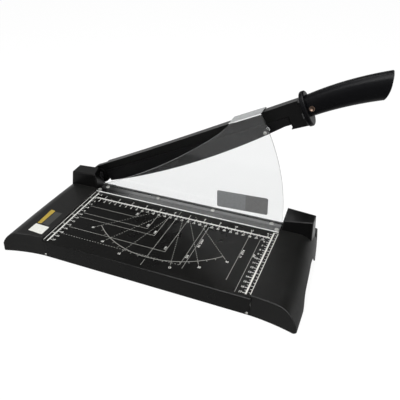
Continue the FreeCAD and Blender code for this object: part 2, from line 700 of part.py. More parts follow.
# the bracket's foot hangs on two bosses under the left cap's crown
boss_low = foot_top
bracket_bosses = []
for x, y in bracket_fix_places:
    post = rod(BOSS_R, Vector(x, y, boss_low), Vector(x, y, CAP_LIFT - CAP_WALL))
    bracket_bosses.append(post.cut(rod(SCREW_R, Vector(x, y, boss_low - 1), Vector(x, y, boss_low + 9))))
foot_room = box(BRACKET_LEFT, TABLE_LEFT - CAP_WALL, -SOLID_REAR - 0.5, 0, FLOOR, boss_low)
parts["left_end_cap"] = fused([parts["left_end_cap"].cut(foot_room)] + bracket_bosses)
bracket_screws = []
for x, y in bracket_fix_places:
    bracket_screws.append(screw(Vector(x, y, FLOOR + 6), Vector(0, 0, 1), BRACKET_THICK + 7))
parts["bracket_screws"] = Part.makeCompound(bracket_screws)

washer_back = BRACKET_REAR + THRUST_WASHER
parts["thrust_washer"] = ring(WASHER_R, BOLT_R + RUNNING_CLEARANCE, BRACKET_REAR, washer_back)
spring_start = ARM_BACK + WASHER_GAP
nut_start = spring_start + SPRING_WASHER
parts["spring_washer"] = ring(WASHER_R - 0.6, BOLT_R, spring_start, nut_start)
nut = hexagon(NUT_ACROSS, nut_start, nut_start + NUT_HEIGHT)
parts["pivot_nut"] = nut.cut(rod(BOLT_R, axis_point(nut_start - 1), axis_point(nut_start + NUT_HEIGHT + 1)))
bolt_end = nut_start + NUT_HEIGHT + 1.0
bolt_head = rod(BOLT_HEAD_R, axis_point(bracket_front - BOLT_HEAD_H), axis_point(bracket_front))
head_face = bracket_front - BOLT_HEAD_H
head_rim = [e for e in bolt_head.Edges if e.Closed and abs(e.CenterOfMass.y - head_face) < 1e-6]
bolt_head = bolt_head.makeFillet(1.2, head_rim)
bolt = fused([rod(BOLT_R, axis_point(bracket_front), axis_point(bolt_end)), bolt_head])
hex_y = bracket_front - BOLT_HEAD_H
parts["pivot_bolt"] = bolt.cut(hexagon(BOLT_SOCKET, hex_y - 1, hex_y + 1.9))


# ---------------------------------------------------------------- arm, drawn level and then raised
def raised(shape):
    """From the arm's own frame, pivot at the origin, to the open pose."""
    turned = shape.copy()
    turned.rotate(Vector(0, 0, 0), Vector(0, 1, 0), -ARM_RAISED)
    turned.translate(Vector(PIVOT_X, 0, PIVOT_Z))
    return turned


def spline(points, y):
    curve = Part.BSplineCurve()
    curve.interpolate([Vector(u, y, v) for u, v in points])
    return curve.toShape()


# the bar's top edge rises slowly at first and then evenly
ARM_TOP = [
    (0.0, ARM_TOP_ROOT),
    (ARM_END * 0.317, ARM_TOP_ROOT + 0.4),
    (ARM_END * 0.72, ARM_TOP_END - 2.8),
    (ARM_END, ARM_TOP_END),
]


def arm():
    """Pressed bar: round eye, channel with top and bottom flanges, stop lug and handle tang."""
    y = ARM_FRONT
    eye = rod(EYE_R, Vector(0, y, 0), Vector(0, ARM_BACK, 0))
    top = spline(ARM_TOP, y)
    edges = [
        top,
        Part.makeLine(Vector(ARM_END, y, ARM_TOP_END), Vector(ARM_END, y, ARM_BOTTOM)),
        Part.makeLine(Vector(ARM_END, y, ARM_BOTTOM), Vector(10.0, y, ARM_BOTTOM - 4)),
        Part.makeLine(Vector(10.0, y, ARM_BOTTOM - 4), Vector(0, y, ARM_TOP_ROOT)),
    ]
    bar = plate(edges, ARM_THICK)
    under_top = [(u, v - ARM_FLANGE) for u, v in reversed(ARM_TOP)]
    flange_edges = [
        top,
        Part.makeLine(Vector(ARM_END, y, ARM_TOP_END), Vector(ARM_END, y, ARM_TOP_END - ARM_FLANGE)),
        spline(under_top, y),
        Part.makeLine(Vector(0, y, ARM_TOP_ROOT - ARM_FLANGE), Vector(0, y, ARM_TOP_ROOT)),
    ]
    flange = plate(flange_edges, ARM_TOP_DEPTH)
    flange = flange.common(box(EYE_R + 2, ARM_END, y, y + ARM_TOP_DEPTH, 0, 60))
    recess = [(u, v - ARM_FLANGE) for u, v in ARM_TOP[1:]]
    recess[-1] = (ARM_END - POCKET_END, ARM_TOP_END - 1 - ARM_FLANGE)
    outline = [(ARM_END - POCKET_END, ARM_BOTTOM + ARM_FLANGE)]
    outline += [(EYE_R * 1.7, ARM_BOTTOM + ARM_FLANGE - 3), (EYE_R * 1.7, ARM_TOP_ROOT - ARM_FLANGE)]
    pocket = prism(outline + recess, ARM_FRONT + ARM_WEB, ARM_BACK + 1)
    lug_outline = [
        (LUG_START, LUG_BOTTOM + 0.6),
        (LUG_START + 2.4, LUG_BOTTOM + 4.2),
        (LUG_START + 1.6, ARM_BOTTOM + 2),
        (LUG_END, ARM_BOTTOM + 2),
        (LUG_END, LUG_BOTTOM - 0.6),
    ]
    lug = prism(lug_outline, ARM_FRONT, ARM_FRONT + 5)
    tang = box(ARM_END - 2, TANG_END, ARM_FRONT, ARM_BACK, TANG_BOTTOM, TANG_TOP)
    boss = rod(EYE_R - 5, Vector(0, EYE_FRONT, 0), Vector(0, y, 0))
    whole = fused([bar.cut(pocket), flange, eye, lug, tang, boss])
    bore = rod(BOLT_R + BUSH_WALL, Vector(0, -10, 0), Vector(0, 30, 0))
    whole = whole.cut(bore)
    for u in blade_screw_places():
        whole = whole.cut(rod(SCREW_R, Vector(u, y - 1, 0), Vector(u, y + ARM_WEB + 4, 0)))
    rivet_z = TANG_BOTTOM + 4
    rivet_hole = rod(HANDLE_RIVET_R, Vector(HANDLE_RIVET_U, 0, rivet_z), Vector(HANDLE_RIVET_U, 15, rivet_z))
    screw_hole = rod(SCREW_R + 0.2, Vector(HANDLE_SCREW_U, 0, 10), Vector(HANDLE_SCREW_U, 15, 10))
    return whole.cut(rivet_hole).cut(screw_hole)


def blade_screw_places():
    return spread(BLADE_START + 22, BLADE_END - 22, 5)


def upper_blade():
    """Steel strip with a bellied cutting edge, ground to a bevel on the outer side."""
    y = BLADE_GAP
    belly_u = 0.53 * BLADE_END
    edge = Part.Arc(
        Vector(BLADE_START, y, BLADE_HEEL_V),
        Vector(belly_u, y, BLADE_BELLY),
        Vector(BLADE_END, y, BLADE_TIP_V),
    ).toShape()
    edges = [
        edge,
        Part.makeLine(Vector(BLADE_END, y, BLADE_TIP_V), Vector(BLADE_END, y, BLADE_TOP)),
        Part.makeLine(Vector(BLADE_END, y, BLADE_TOP), Vector(BLADE_START, y, BLADE_TOP)),
        Part.makeLine(Vector(BLADE_START, y, BLADE_TOP), Vector(BLADE_START, y, BLADE_HEEL_V)),
    ]
    blade = plate(edges, BLADE_THICK)
    for u in blade_screw_places():
        blade = blade.cut(rod(SCREW_R, Vector(u, y + BLADE_SKIN, 0), Vector(u, y + 5, 0)))
    return blade


def blade_screws():
    """Screws from inside the bar into blind tapped holes, so that the blade's face stays plain."""
    found = []
    seat_y = ARM_FRONT + ARM_WEB
    for u in blade_screw_places():
        found.append(screw(Vector(u, seat_y, 0), Vector(0, -1, 0), seat_y - BLADE_GAP - BLADE_SKIN - 0.1))
    return found


def grip_section(u):
    """Superellipse of power 2.5 across the arm's axis, sized by its place along the grip."""
    root = COLLAR_START + COLLAR_THICK
    share = (u - root) / (HANDLE_END - root)
    centre = GRIP_ROOT_V + GRIP_RISE * share - GRIP_DROOP * share ** 2
    half_v = GRIP_HALF_V + GRIP_HALF_V_GAIN * share
    half_y = GRIP_HALF_Y + GRIP_HALF_Y_GAIN * share
    return superellipse(u, centre, half_v, half_y, 0.8)


def superellipse(u, centre, half_v, half_y, squareness):
    points = []
    for step in range(24):
        t = math.radians(15 * step)
        c, s = math.cos(t), math.sin(t)
        across = math.copysign(abs(c) ** squareness, c) * half_y
        height = math.copysign(abs(s) ** squareness, s) * half_v
        points.append(Vector(u, HANDLE_MID_Y + across, centre + height))
    curve = Part.BSplineCurve()
    curve.interpolate(points, PeriodicFlag=True)
    return Part.Wire(curve.toShape())


def butt_cutter():
    """Takes the grip off along a leaning, slightly bowed end face."""
    y = HANDLE_MID_Y - 30
    drop = BUTT_TOP_V - BUTT_BOTTOM_V
    top = Vector(HANDLE_END + 0.12 * BUTT_LEAN, y, BUTT_TOP_V)
    bottom = Vector(top.x - BUTT_LEAN, y, BUTT_BOTTOM_V)
    middle = (top + bottom) / 2 + Vector(drop, 0, -BUTT_LEAN).normalize() * BUTT_BOW
    high = Vector(top.x + 1.5, y, BUTT_TOP_V + 20)
    low = Vector(bottom.x - 16, y, BUTT_BOTTOM_V - 16)
    past_low = Vector(HANDLE_END + 40, y, low.z)
    past_high = Vector(HANDLE_END + 40, y, high.z)
    edges = [
        Part.makeLine(high, top),
        Part.Arc(top, middle, bottom).toShape(),
        Part.makeLine(bottom, low),
        Part.makeLine(low, past_low),
        Part.makeLine(past_low, past_high),
        Part.makeLine(past_high, high),
    ]
    return plate(edges, 60)


def handle_body():
    places = spread(COLLAR_START + 3, HANDLE_END + 14, GRIP_SECTIONS)
    grip = Part.makeLoft([grip_section(u) for u in places], True, False)
    grip = grip.cut(butt_cutter())
    butt = []
    for edge in grip.Edges:
        if edge.CenterOfMass.x > HANDLE_END - 1.3 * BUTT_LEAN and edge.BoundBox.ZLength < 60:
            butt.append(edge)
    grip = grip.makeFillet(BUTT_ROUNDING, butt)
    oval = superellipse(COLLAR_START, COLLAR_CENTRE_V, COLLAR_HALF_V, COLLAR_HALF_Y, 0.86)
    disc = Part.Face(oval).extrude(Vector(COLLAR_THICK, 0, 0))
    disc = disc.makeFillet(2.2, disc.Edges)
    tang_room = box(ARM_END - 5, TANG_END, ARM_FRONT, ARM_BACK, TANG_BOTTOM, TANG_TOP)
    return grip.fuse(disc).removeSplitter().cut(tang_room)


handle = handle_body()
handle_room = handle.BoundBox
handle_room.enlarge(5)
room_x = (handle_room.XMin, handle_room.XMax)
room_z = (handle_room.ZMin, handle_room.ZMax)
front_half = box(*room_x, handle_room.YMin, HANDLE_MID_Y, *room_z)
back_half = box(*room_x, HANDLE_MID_Y, handle_room.YMax, *room_z)
rivet_v = TANG_BOTTOM + 4
rivet_bore = rod(HANDLE_RIVET_R, Vector(HANDLE_RIVET_U, -30, rivet_v), Vector(HANDLE_RIVET_U, 40, rivet_v))
front_shell = handle.common(front_half).cut(rivet_bore)
back_shell = handle.common(back_half).cut(rivet_bore)
rivet_face = HANDLE_MID_Y - HANDLE_RIVET_REACH - 0.4
rivet_end = Vector(HANDLE_RIVET_U, HANDLE_MID_Y + HANDLE_RIVET_REACH, rivet_v)
rivet = rod(HANDLE_RIVET_R, Vector(HANDLE_RIVET_U, rivet_face, rivet_v), rivet_end)
dish = Part.makeSphere(3.2, Vector(HANDLE_RIVET_U, rivet_face - 1.9, rivet_v))
screw_seat = HANDLE_MID_Y + HANDLE_SCREW_SEAT
beyond = Vector(HANDLE_SCREW_U, 40, 10)
back_shell = back_shell.cut(rod(SCREW_HEAD_R, Vector(HANDLE_SCREW_U, screw_seat, 10), beyond))
handle_screw_hole = rod(SCREW_R, Vector(HANDLE_SCREW_U, HANDLE_MID_Y - 7.5, 10), beyond)
front_shell = front_shell.cut(handle_screw_hole)
back_shell = back_shell.cut(handle_screw_hole)
handle_screw = screw(Vector(HANDLE_SCREW_U, screw_seat, 10), Vector(0, -1, 0), screw_seat - HANDLE_MID_Y + 7)

bush = rod(BOLT_R + BUSH_WALL, Vector(0, EYE_FRONT, 0), Vector(0, ARM_BACK, 0))
bush = bush.cut(rod(BOLT_R + RUNNING_CLEARANCE, Vector(0, -5, 0), Vector(0, 30, 0)))
parts["blade_arm"] = raised(arm())
parts["upper_blade"] = raised(upper_blade())
parts["blade_screws"] = raised(Part.makeCompound(blade_screws()))
parts["arm_bush"] = raised(bush)
parts["handle_front_shell"] = raised(front_shell)
parts["handle_back_shell"] = raised(back_shell)
parts["handle_rivet"] = raised(rivet.cut(dish))
parts["handle_screw"] = raised(handle_screw)

# rubber stop that the lug lands on
closed = math.radians(ARM_RAISED - CLOSING_ANGLE)
landing_z = PIVOT_Z + LUG_END * math.sin(closed) + (LUG_BOTTOM - 0.6) * math.cos(closed)
bumper_left = PIVOT_X + (LUG_START + 2) * math.cos(closed)
bumper_right = PIVOT_X + LUG_END * math.cos(closed) - 8
bumper = box(bumper_left, bumper_right, ARM_FRONT - 0.6, ARM_FRONT + 6.4, LEDGE_Z, landing_z - BUMPER_GAP)
bumper_top = [e for e in bumper.Edges if abs(e.CenterOfMass.z - landing_z + BUMPER_GAP) < 1e-6]
parts["landing_bumper"] = bumper.makeFillet(0.8, bumper_top)


# ---------------------------------------------------------------- clamp bar and guard
def clamp_bar():
    bar = box(CLAMP_LEFT, CLAMP_RIGHT, -CLAMP_DEPTH, CLAMP_BACK, CLAMP_REST_GAP, CLAMP_TOP)
    front = [e for e in bar.Edges if abs(e.CenterOfMass.y + CLAMP_DEPTH) < 1e-6 and e.BoundBox.XLength > 50]
    bar = bar.makeChamfer(0.5, front)
    for x, y in post_places():
        bar = bar.cut(rod(POST_R, Vector(x, y, -1), Vector(x, y, 9)))
    for x in guard_screw_places():
        hole_end = Vector(x, GUARD_SCREW_Y, CLAMP_REST_GAP + 0.4)
        bar = bar.cut(rod(SCREW_R, hole_end, Vector(x, GUARD_SCREW_Y, 9)))
    return bar


def guard_screw_places():
    return spread(CLAMP_LEFT + GUARD_SCREW_INSET, CLAMP_RIGHT - GUARD_SCREW_INSET, GUARD_SCREWS)


def arm_point(u, v, y):
    """A place given in the arm's own frame, in the open pose."""
    turned = Rotation(Vector(0, 1, 0), -ARM_RAISED).multVec(Vector(u, 0, v))
    return Vector(PIVOT_X + turned.x, y, PIVOT_Z + turned.z)


BUTTON_U = GUARD_REACH - BUTTON_INSET


def guard():
    """Clear fan about the pivot, with a foot on the clamp bar and a tab folded over the arm."""
    y0 = GUARD_BACK - GUARD_SHEET
    low_left = Vector(GUARD_LEFT, y0, CLAMP_TOP)
    high_left = Vector(GUARD_LEFT, y0, GUARD_LEFT_Z)
    sill = CLAMP_TOP - PIVOT_Z
    low_right = Vector(PIVOT_X + math.sqrt(GUARD_REACH ** 2 - sill ** 2), y0, CLAMP_TOP)
    tab_v = 20.9 + TAB_CLEARANCE
    tab_end = math.sqrt(GUARD_REACH ** 2 - tab_v ** 2)
    top_right = arm_point(tab_end, tab_v, y0)
    tab_start = tab_end - TAB_LENGTH
    top_left = arm_point(tab_start, tab_v, y0)
    bulge = math.radians(13.0)
    arc_middle = Vector(PIVOT_X + GUARD_REACH * math.cos(bulge), y0, PIVOT_Z + GUARD_REACH * math.sin(bulge))
    upper = Part.BSplineCurve()
    upper.interpolate([
        top_left,
        arm_point(tab_start * 0.925, 13.9, y0),
        arm_point(tab_start * 0.815, 6.1, y0),
        arm_point(tab_start * 0.566, -6.4, y0),
        arm_point(tab_start * 0.284, -13.4, y0),
        high_left,
    ])
    edges = [
        Part.makeLine(low_left, low_right),
        Part.Arc(low_right, arc_middle, top_right).toShape(),
        Part.makeLine(top_right, top_left),
        upper.toShape(),
        Part.makeLine(high_left, low_left),
    ]
    fan = plate(edges, GUARD_SHEET)
    foot = box(GUARD_LEFT, low_right.x, y0 - GUARD_FOOT, GUARD_BACK, CLAMP_TOP, CLAMP_TOP + GUARD_SHEET)
    tab = Part.makeBox(TAB_LENGTH, TAB_DEPTH + GUARD_SHEET, GUARD_SHEET, Vector(tab_start, y0, tab_v))
    sheet = fused([fan, foot, raised(tab)])
    for x in guard_screw_places():
        sheet = sheet.cut(rod(SCREW_R, Vector(x, GUARD_SCREW_Y, 0), Vector(x, GUARD_SCREW_Y, 20)))
    button = arm_point(BUTTON_U, BUTTON_V, 0)
    sheet = sheet.cut(rod(SCREW_R, Vector(button.x, y0 - 1, button.z), Vector(button.x, 0, button.z)))
    return sheet


posts = []
clips = []
clip_top = -SHEET - CLAMP_LIFT - 0.4
for x, y in post_places():
    head = rod(POST_HEAD_R, Vector(x, y, CLAMP_TOP), Vector(x, y, CLAMP_TOP + POST_HEAD_H))
    socket = rod(POST_HEAD_R - 1.6, Vector(x, y, CLAMP_TOP + 0.4), Vector(x, y, CLAMP_TOP + 3))
    shank = rod(POST_R, Vector(x, y, clip_top - POST_CLIP_THICK - 1.5), Vector(x, y, CLAMP_TOP))
    posts.append(head.fuse(shank).removeSplitter().cut(socket))
    disc = rod(POST_CLIP_R, Vector(x, y, clip_top - POST_CLIP_THICK), Vector(x, y, clip_top))
    disc = disc.cut(rod(POST_R, Vector(x, y, clip_top - 3), Vector(x, y, clip_top + 3)))
    clips.append(disc.cut(box(x - 1.5, x + 1.5, y - 9, y, clip_top - 3, clip_top + 3)))

guard_screws = []
for x in guard_screw_places():
    seat = Vector(x, GUARD_SCREW_Y, CLAMP_TOP + GUARD_SHEET)
    guard_screws.append(screw(seat, Vector(0, 0, -1), GUARD_SHEET + 1.5))

button_at = arm_point(BUTTON_U, BUTTON_V, GUARD_BACK - GUARD_SHEET)
button_screw = screw(button_at, Vector(0, 1, 0), GUARD_SHEET + 1.2, SCREW_R, 2.6, 1.2)
button_back = Vector(button_at.x, -0.2, button_at.z)
button = rod(3.4, Vector(button_at.x, GUARD_BACK, button_at.z), button_back)
button_hole_end = Vector(button_at.x, GUARD_BACK + 1.2, button_at.z)
button = button.cut(rod(SCREW_R, Vector(button_at.x, GUARD_BACK - 1, button_at.z), button_hole_end))

parts["clamp_bar"] = clamp_bar()
parts["guard"] = guard()
parts["clamp_posts"] = Part.makeCompound(posts)
parts["post_clips"] = Part.makeCompound(clips)
parts["guard_screws"] = Part.makeCompound(guard_screws)
parts["guard_button"] = button
parts["guard_button_screw"] = button_screw


# ---------------------------------------------------------------- export
def whole_box():
    """Exact box of the whole machine."""
    total = FreeCAD.BoundBox()
    for shape in parts.values():
        total.add(shape.optimalBoundingBox(False, False))
    return total


extent = whole_box()
origin = Vector((extent.XMin + extent.XMax) / 2, (extent.YMin + extent.YMax) / 2, FLOOR)
os.makedirs("parts", exist_ok=True)
for name, shape in parts.items():
    moved = shape.copy()
    moved.translate(Vector(0, 0, 0) - origin)
    if not moved.isValid():
        print("not valid:", name)
    moved.exportStep("parts/" + name + ".step")
pivot = axis_point(0) - origin
print("origin in the bench frame", origin)
print("box", extent)
print("pivot", pivot, "closing angle", CLOSING_ANGLE, "clamp lift", CLAMP_LIFT)
print(len(parts), "nodes")
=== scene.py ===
import math

import bpy
import numpy as np
from mathutils import Matrix, Vector


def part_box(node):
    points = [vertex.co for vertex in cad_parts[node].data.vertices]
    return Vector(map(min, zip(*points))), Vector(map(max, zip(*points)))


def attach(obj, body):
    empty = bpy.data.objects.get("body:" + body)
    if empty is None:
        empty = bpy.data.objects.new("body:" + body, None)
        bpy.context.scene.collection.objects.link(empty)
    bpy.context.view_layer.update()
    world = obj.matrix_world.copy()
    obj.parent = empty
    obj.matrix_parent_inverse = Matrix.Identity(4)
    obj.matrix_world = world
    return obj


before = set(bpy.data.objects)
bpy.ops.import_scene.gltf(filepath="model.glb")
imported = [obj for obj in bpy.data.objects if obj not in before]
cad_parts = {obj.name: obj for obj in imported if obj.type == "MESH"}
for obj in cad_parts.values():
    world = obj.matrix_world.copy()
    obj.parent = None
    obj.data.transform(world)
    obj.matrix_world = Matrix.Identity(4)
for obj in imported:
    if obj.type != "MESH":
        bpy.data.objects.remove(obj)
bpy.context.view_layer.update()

bl_info = {
    "name": "Guillotine paper cutter",
    "version": (1, 0, 0),
    "blender": (4, 5, 0),
    "location": "View3D > Sidebar > Cutter",
    "description": "Dresses the packed model of a desk guillotine paper cutter and lights it",
    "category": "Object",
}

MM = 0.001
TABLE_LOW, TABLE_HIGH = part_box("table")
# The bench frame: X from the ruler's zero, Y from the cut edge, Z from the top of the table. The zero is just
# inside the table's left edge, and the cut is just behind its back edge.
ZERO_INSIDE, CUT_BEHIND = 2.0 * MM, 3.0 * MM
BENCH = Vector((TABLE_LOW[0] + ZERO_INSIDE, TABLE_HIGH[1] + CUT_BEHIND, TABLE_HIGH[2]))
# How far prints lie above the surface under them, and skins outside theirs.
PRINT_LIFT, SKIN_LIFT = 0.06 * MM, 0.05 * MM

# What is printed on the table, in millimetres in the bench frame, and in degrees.
CM, INCH = 10.0, 25.4
RULER_START, RULER_END = 11.5, 308.5
# Long ruler: step, number of ticks, and how far whole and half ticks and then the figures reach from its line.
LONG_SCALES = ((CM, 30, -5.6, -3.4), (INCH, 12, 5.4, 3.4))
CM_FIGURES, INCH_FIGURES = -7.9, 7.6
HALF_TICK_WIDTH, RIGHT_TICK_WIDTH = 0.8, 1.2
# Side rulers: X of each border and ruler line, Y of its front end and its width.
LEFT_BORDER, LEFT_RULER, RIGHT_RULER, RIGHT_BORDER = -0.4, 6.5, 311.4, 317.5
SIDE_LINES = ((LEFT_BORDER, -171.8, 1.0), (LEFT_RULER, -172.2, 2.1),
              (RIGHT_RULER, -168.6, 2.3), (RIGHT_BORDER, -167.3, 1.0))
SIDE_BACK = -31.2
RIGHT_CORNER = (RIGHT_RULER, -31.6, 317.9, -31.6, 0.9)
# X where their ticks end, Y of the whole centimetres and inches, and X of the figures.
LEFT_TICK, LEFT_HALF_TICK = 11.6, 9.6
RIGHT_TICK, RIGHT_HALF_TICK, QUARTER_INCH_TICK = 306.2, 308.0, 314.6
SIDE_CM = -36.8 - CM * np.arange(14)
SIDE_INCH = -50.3 - INCH * np.arange(5)
SIDE_FIRST_CM = 4
SIDE_FIGURES = (14.2, 303.4)
# Front corners of the small paper formats, then the lines of the others: X, Y of the back and of the front end.
FORMAT_CORNERS = ((100.0, -71.0), (130.0, -91.6), (148.0, -103.0), (179.0, -131.0))
FORMAT_LEFT = 16.0
FORMAT_LINES = ((215.9, -53.0, -154.0), (279.4, -53.0, -153.0), (297.0, -54.0, -170.0))
A5_LENGTH, A5_FRONT = 210.0, -148.5
MIDDLE_LINE = (160.0, -32.0, -169.0)
CORNER_FIGURES = (-2.4, 7.6)
FORMAT_FIGURES = [("8.5  215.9", 219.1, -94.8), ("210", 212.9, -129.0), ("11  279.4", 282.3, -95.0),
                  ("297", 299.6, -93.0)]
# The dotted front edge of A5 and the dotted rays: where they start and end, dash, step and relative width.
DOTTED_EDGE = -149.0
EDGE_START, EDGE_END, EDGE_DASH, EDGE_STEP, EDGE_WIDTH = 14.0, 208.0, 1.7, 4.6, 1.5
RAY_START, RAY_END, RAY_DASH, RAY_STEP, RAY_WIDTH = 38.0, 150.0, 1.8, 4.3, 1.4
# The protractor's centre, its rays and its arc.
PROTRACTOR = (160.0, -10.5)
RAYS = (-45.0, -30.0, -15.0, 15.0, 30.0, 45.0)
RAY_FIGURES = 153.6
ARC_REACH, ARC_STEP, LONG_TICK_STEP = 45.0, 5.0, 15.0
ARC_TICK, ARC_LONG_TICK = 3.8, 5.4
ARC_HALF_WIDTH = 0.45

# Blank labels: corners of the guard's one as X and Z in its plane, of the cap's ones as X and Y, round corners,
# the film's thickness, and where the guard's darker field starts as a share of its width.
GUARD_LABEL = ((213.3, 12.9), (294.6, 16.2), (294.0, 45.7), (213.2, 42.3))
GUARD_FACE, FILM = -13.0, 0.04
GUARD_RADIUS, FIELD_RADIUS, CAP_RADIUS = 2.6, 2.0, 1.2
FIELD_START, FIELD_INSET, RIM = 0.56, 0.7, 0.5
SMALLEST_RADIUS = 0.2
CAP_TOP = 3.0
CAP_LABELS = {
    "paper": ("cap_label_white", ((-34.3, -163.9), (-8.0, -165.8), (-8.4, -146.8), (-33.5, -145.9))),
    "yellow": ("cap_label_yellow", ((-32.6, -144.4), (-26.3, -143.0), (-26.1, -107.8), (-34.6, -106.3))),
    "grey": ("cap_label_grey", ((-24.6, -143.2), (-12.2, -143.9), (-12.2, -109.0), (-24.6, -109.4))),
}

# The clear pieces: where the painted reflection of the dark pivot housing fades out on the clamp strip and the
# guard's foot, the front of the guard's foot, and how far a face has to lean to be taken for level, for one that
# looks to the front, or for the guard's slanting edge.
PIVOT_SHADE_START, PIVOT_SHADE_END = 16.0, 84.0
GUARD_FOOT_FRONT = -18.0
LEVEL, LEANS_FRONT, FACES_FRONT = 0.985, -0.3, -0.9
GUARD_EDGE, NEAR_GUARD_EDGE = (-0.35, 0.0, 0.94), 0.8
ACRYLIC_IOR, ABS_IOR, NITRILE_IOR, PAINT_IOR = 1.49, 1.52, 1.52, 1.5

# The camera in the bench frame, in millimetres and degrees.
CAMERA_PLACE = (434.0, -598.6, 438.2)
CAMERA_AZIMUTH, CAMERA_ELEVATION, CAMERA_ROLL = 23.1, 33.5, -0.9
LENS_MM, SENSOR_MM = 43.32, 36.0
# Soft boxes: name, place and target in metres, side in metres, watts.
SOFTBOXES = (
    ("softbox_top", (0.0, -0.35, 1.6), (0.0, 0.0, 0.05), 1.3, 12.0),
    ("softbox_right", (1.3, -0.3, 0.8), (0.1, 0.0, 0.05), 0.8, 3.0),
    ("softbox_crease", (-0.24, -0.744, 0.89), (0.05, -0.1, 0.03), 0.2, 2.0),
    ("softbox_overhead", (-0.3, 0.42, 1.16), (0.12, 0.05, 0.05), 0.3, 1.6),
)
# The floor's half width in metres, its brightness, its share of glow, and its shade at the front to mirrors.
FLOOR_HALF, FLOOR_LEVEL, FLOOR_GLOW, FLOOR_SHADE = 3.0, 1.05, 0.86, 0.2
# The room's brightness to matt surfaces; to mirrors the ceiling's on the left and on the right, and the gain of
# the bright strip on it. The horizon and the backdrop are 1.
ROOM_LEVEL, CEILING_LEFT, CEILING_RIGHT, STRIP_GAIN = 0.55, 0.38, 0.03, 7.5
# Start and end of each fade. In metres on the floor: its shade, front to back. In parts of a unit direction: the
# ceiling from left to right, the horizon upwards, and the strip's edges to the front, upwards and to the right.
SHADE_Y = (-0.1, 0.12)
CEILING_X, HORIZON_Z = (-0.6, -0.3), (0.12, 0.34)
STRIP_Y, STRIP_Z, STRIP_X = (-0.2, -0.4), (0.5, 0.62), (-0.4, -0.32)

# Most of a noise texture's values lie between these two.
NOISE_LOW, NOISE_HIGH = 0.3, 0.7
# Scale of a metal's grinding lines: even, or drawn out along X.
EVEN, ALONG_X = (1.0, 1.0, 1.0), (0.05, 1.0, 1.0)


# ---------------------------------------------------------------- colour and node helpers
def linear(code):
    """sRGB hex to linear RGB."""
    values = np.array([int(code[i:i + 2], 16) for i in (1, 3, 5)]) / 255.0
    return tuple(np.where(values <= 0.04045, values / 12.92, ((values + 0.055) / 1.055) ** 2.4))


def rgba(colour):
    return (colour[0], colour[1], colour[2], 1.0)


def add(tree, kind, inputs=(), **settings):
    """Adds a node: settings are its attributes, inputs its sockets' values or the sockets linked in."""
    new = tree.nodes.new(kind)
    for name, value in settings.items():
        setattr(new, name, value)
    for socket, value in dict(inputs).items():
        if isinstance(value, bpy.types.NodeSocket):
            tree.links.new(value, new.inputs[socket])
        else:
            new.inputs[socket].default_value = value
    return new


def ramp(tree, value, start, end, low=0.0, high=1.0, kind="LINEAR"):
    """Number that goes from low to high while the value goes from start to end."""
    node = add(tree, "ShaderNodeMapRange", {"Value": value, "From Min": start, "From Max": end,
                                            "To Min": low, "To Max": high}, interpolation_type=kind)
    return node.outputs["Result"]


def arithmetic(tree, operation, first, second):
    """Number worked out from two others. A difference is held between 0 and 1."""
    node = add(tree, "ShaderNodeMath", {0: first, 1: second}, operation=operation,
               use_clamp=operation == "SUBTRACT")
    return node.outputs[0]


def blend(tree, share, first, second):
    """The first number where the share is 0, the second where it is 1."""
    return add(tree, "ShaderNodeMix", {"Factor": share, 2: first, 3: second}).outputs[0]


def start(name):
    """New material: its tree, its surface shader and Object coordinates."""
    material = bpy.data.materials.new(name)
    material.use_nodes = True
    tree = material.node_tree
    tree.nodes.clear()
    shader = add(tree, "ShaderNodeBsdfPrincipled")
    out = add(tree, "ShaderNodeOutputMaterial", {"Surface": shader.outputs["BSDF"]})
    out.is_active_output = True
    place = add(tree, "ShaderNodeTexCoord").outputs["Object"]
    return material, tree, shader, place


def connect(tree, shader, colour=None, rough=None, normal=None):
    """Links what is given to the surface shader."""
    for socket, source in (("Base Color", colour), ("Roughness", rough), ("Normal", normal)):
        if source is not None:
            tree.links.new(source, shader.inputs[socket])


def mottled(tree, place, colour, spread, period_mm):
    """Colour that wanders by a few percent over patches of the given size."""
    noise = add(tree, "ShaderNodeTexNoise", {"Vector": place, "Scale": 1000.0 / period_mm, "Detail": 3.0})
    low = tuple(c * (1 - spread) for c in colour)
    high = tuple(c * (1 + spread) for c in colour)
    node = add(tree, "ShaderNodeValToRGB", {"Fac": noise.outputs["Fac"]})
    node.color_ramp.elements[0].position = NOISE_LOW
    node.color_ramp.elements[0].color = rgba(low)
    node.color_ramp.elements[1].position = NOISE_HIGH
    node.color_ramp.elements[1].color = rgba(high)
    return node.outputs["Color"]


def roughness_wander(tree, place, low, high, period_mm):
    """Roughness between two values over patches of the given size."""
    noise = add(tree, "ShaderNodeTexNoise", {"Vector": place, "Scale": 1000.0 / period_mm, "Detail": 4.0})
    return ramp(tree, noise.outputs["Fac"], NOISE_LOW, NOISE_HIGH, low, high)


def grain_bump(tree, place, period_mm, height_mm, edge_mm=0.0):
    """Moulded or sprayed grain as bump, with edges rounded off in shading only."""
    noise = add(tree, "ShaderNodeTexNoise", {"Vector": place, "Scale": 1000.0 / period_mm, "Detail": 2.0})
    sockets = {"Height": noise.outputs["Fac"], "Distance": height_mm * MM, "Strength": 1.0}
    if edge_mm:
        sockets["Normal"] = add(tree, "ShaderNodeBevel", {"Radius": edge_mm * MM}, samples=4).outputs["Normal"]
    return add(tree, "ShaderNodeBump", sockets).outputs["Normal"]


# ---------------------------------------------------------------- materials
def moulded_abs(name, colour, rough, grain_mm, height_mm, edge_mm, gloss=0.3):
    """Injection-moulded ABS from a spark-eroded tool: deep black, its fine grain greys in grazing light."""
    material, tree, shader, place = start(name)
    shader.inputs["IOR"].default_value = ABS_IOR
    shader.inputs["Specular IOR Level"].default_value = gloss
    connect(tree, shader, colour=mottled(tree, place, colour, spread=0.10, period_mm=22.0),
            rough=roughness_wander(tree, place, rough - 0.04, rough + 0.05, period_mm=30.0),
            normal=grain_bump(tree, place, grain_mm, height_mm, edge_mm))
    return material


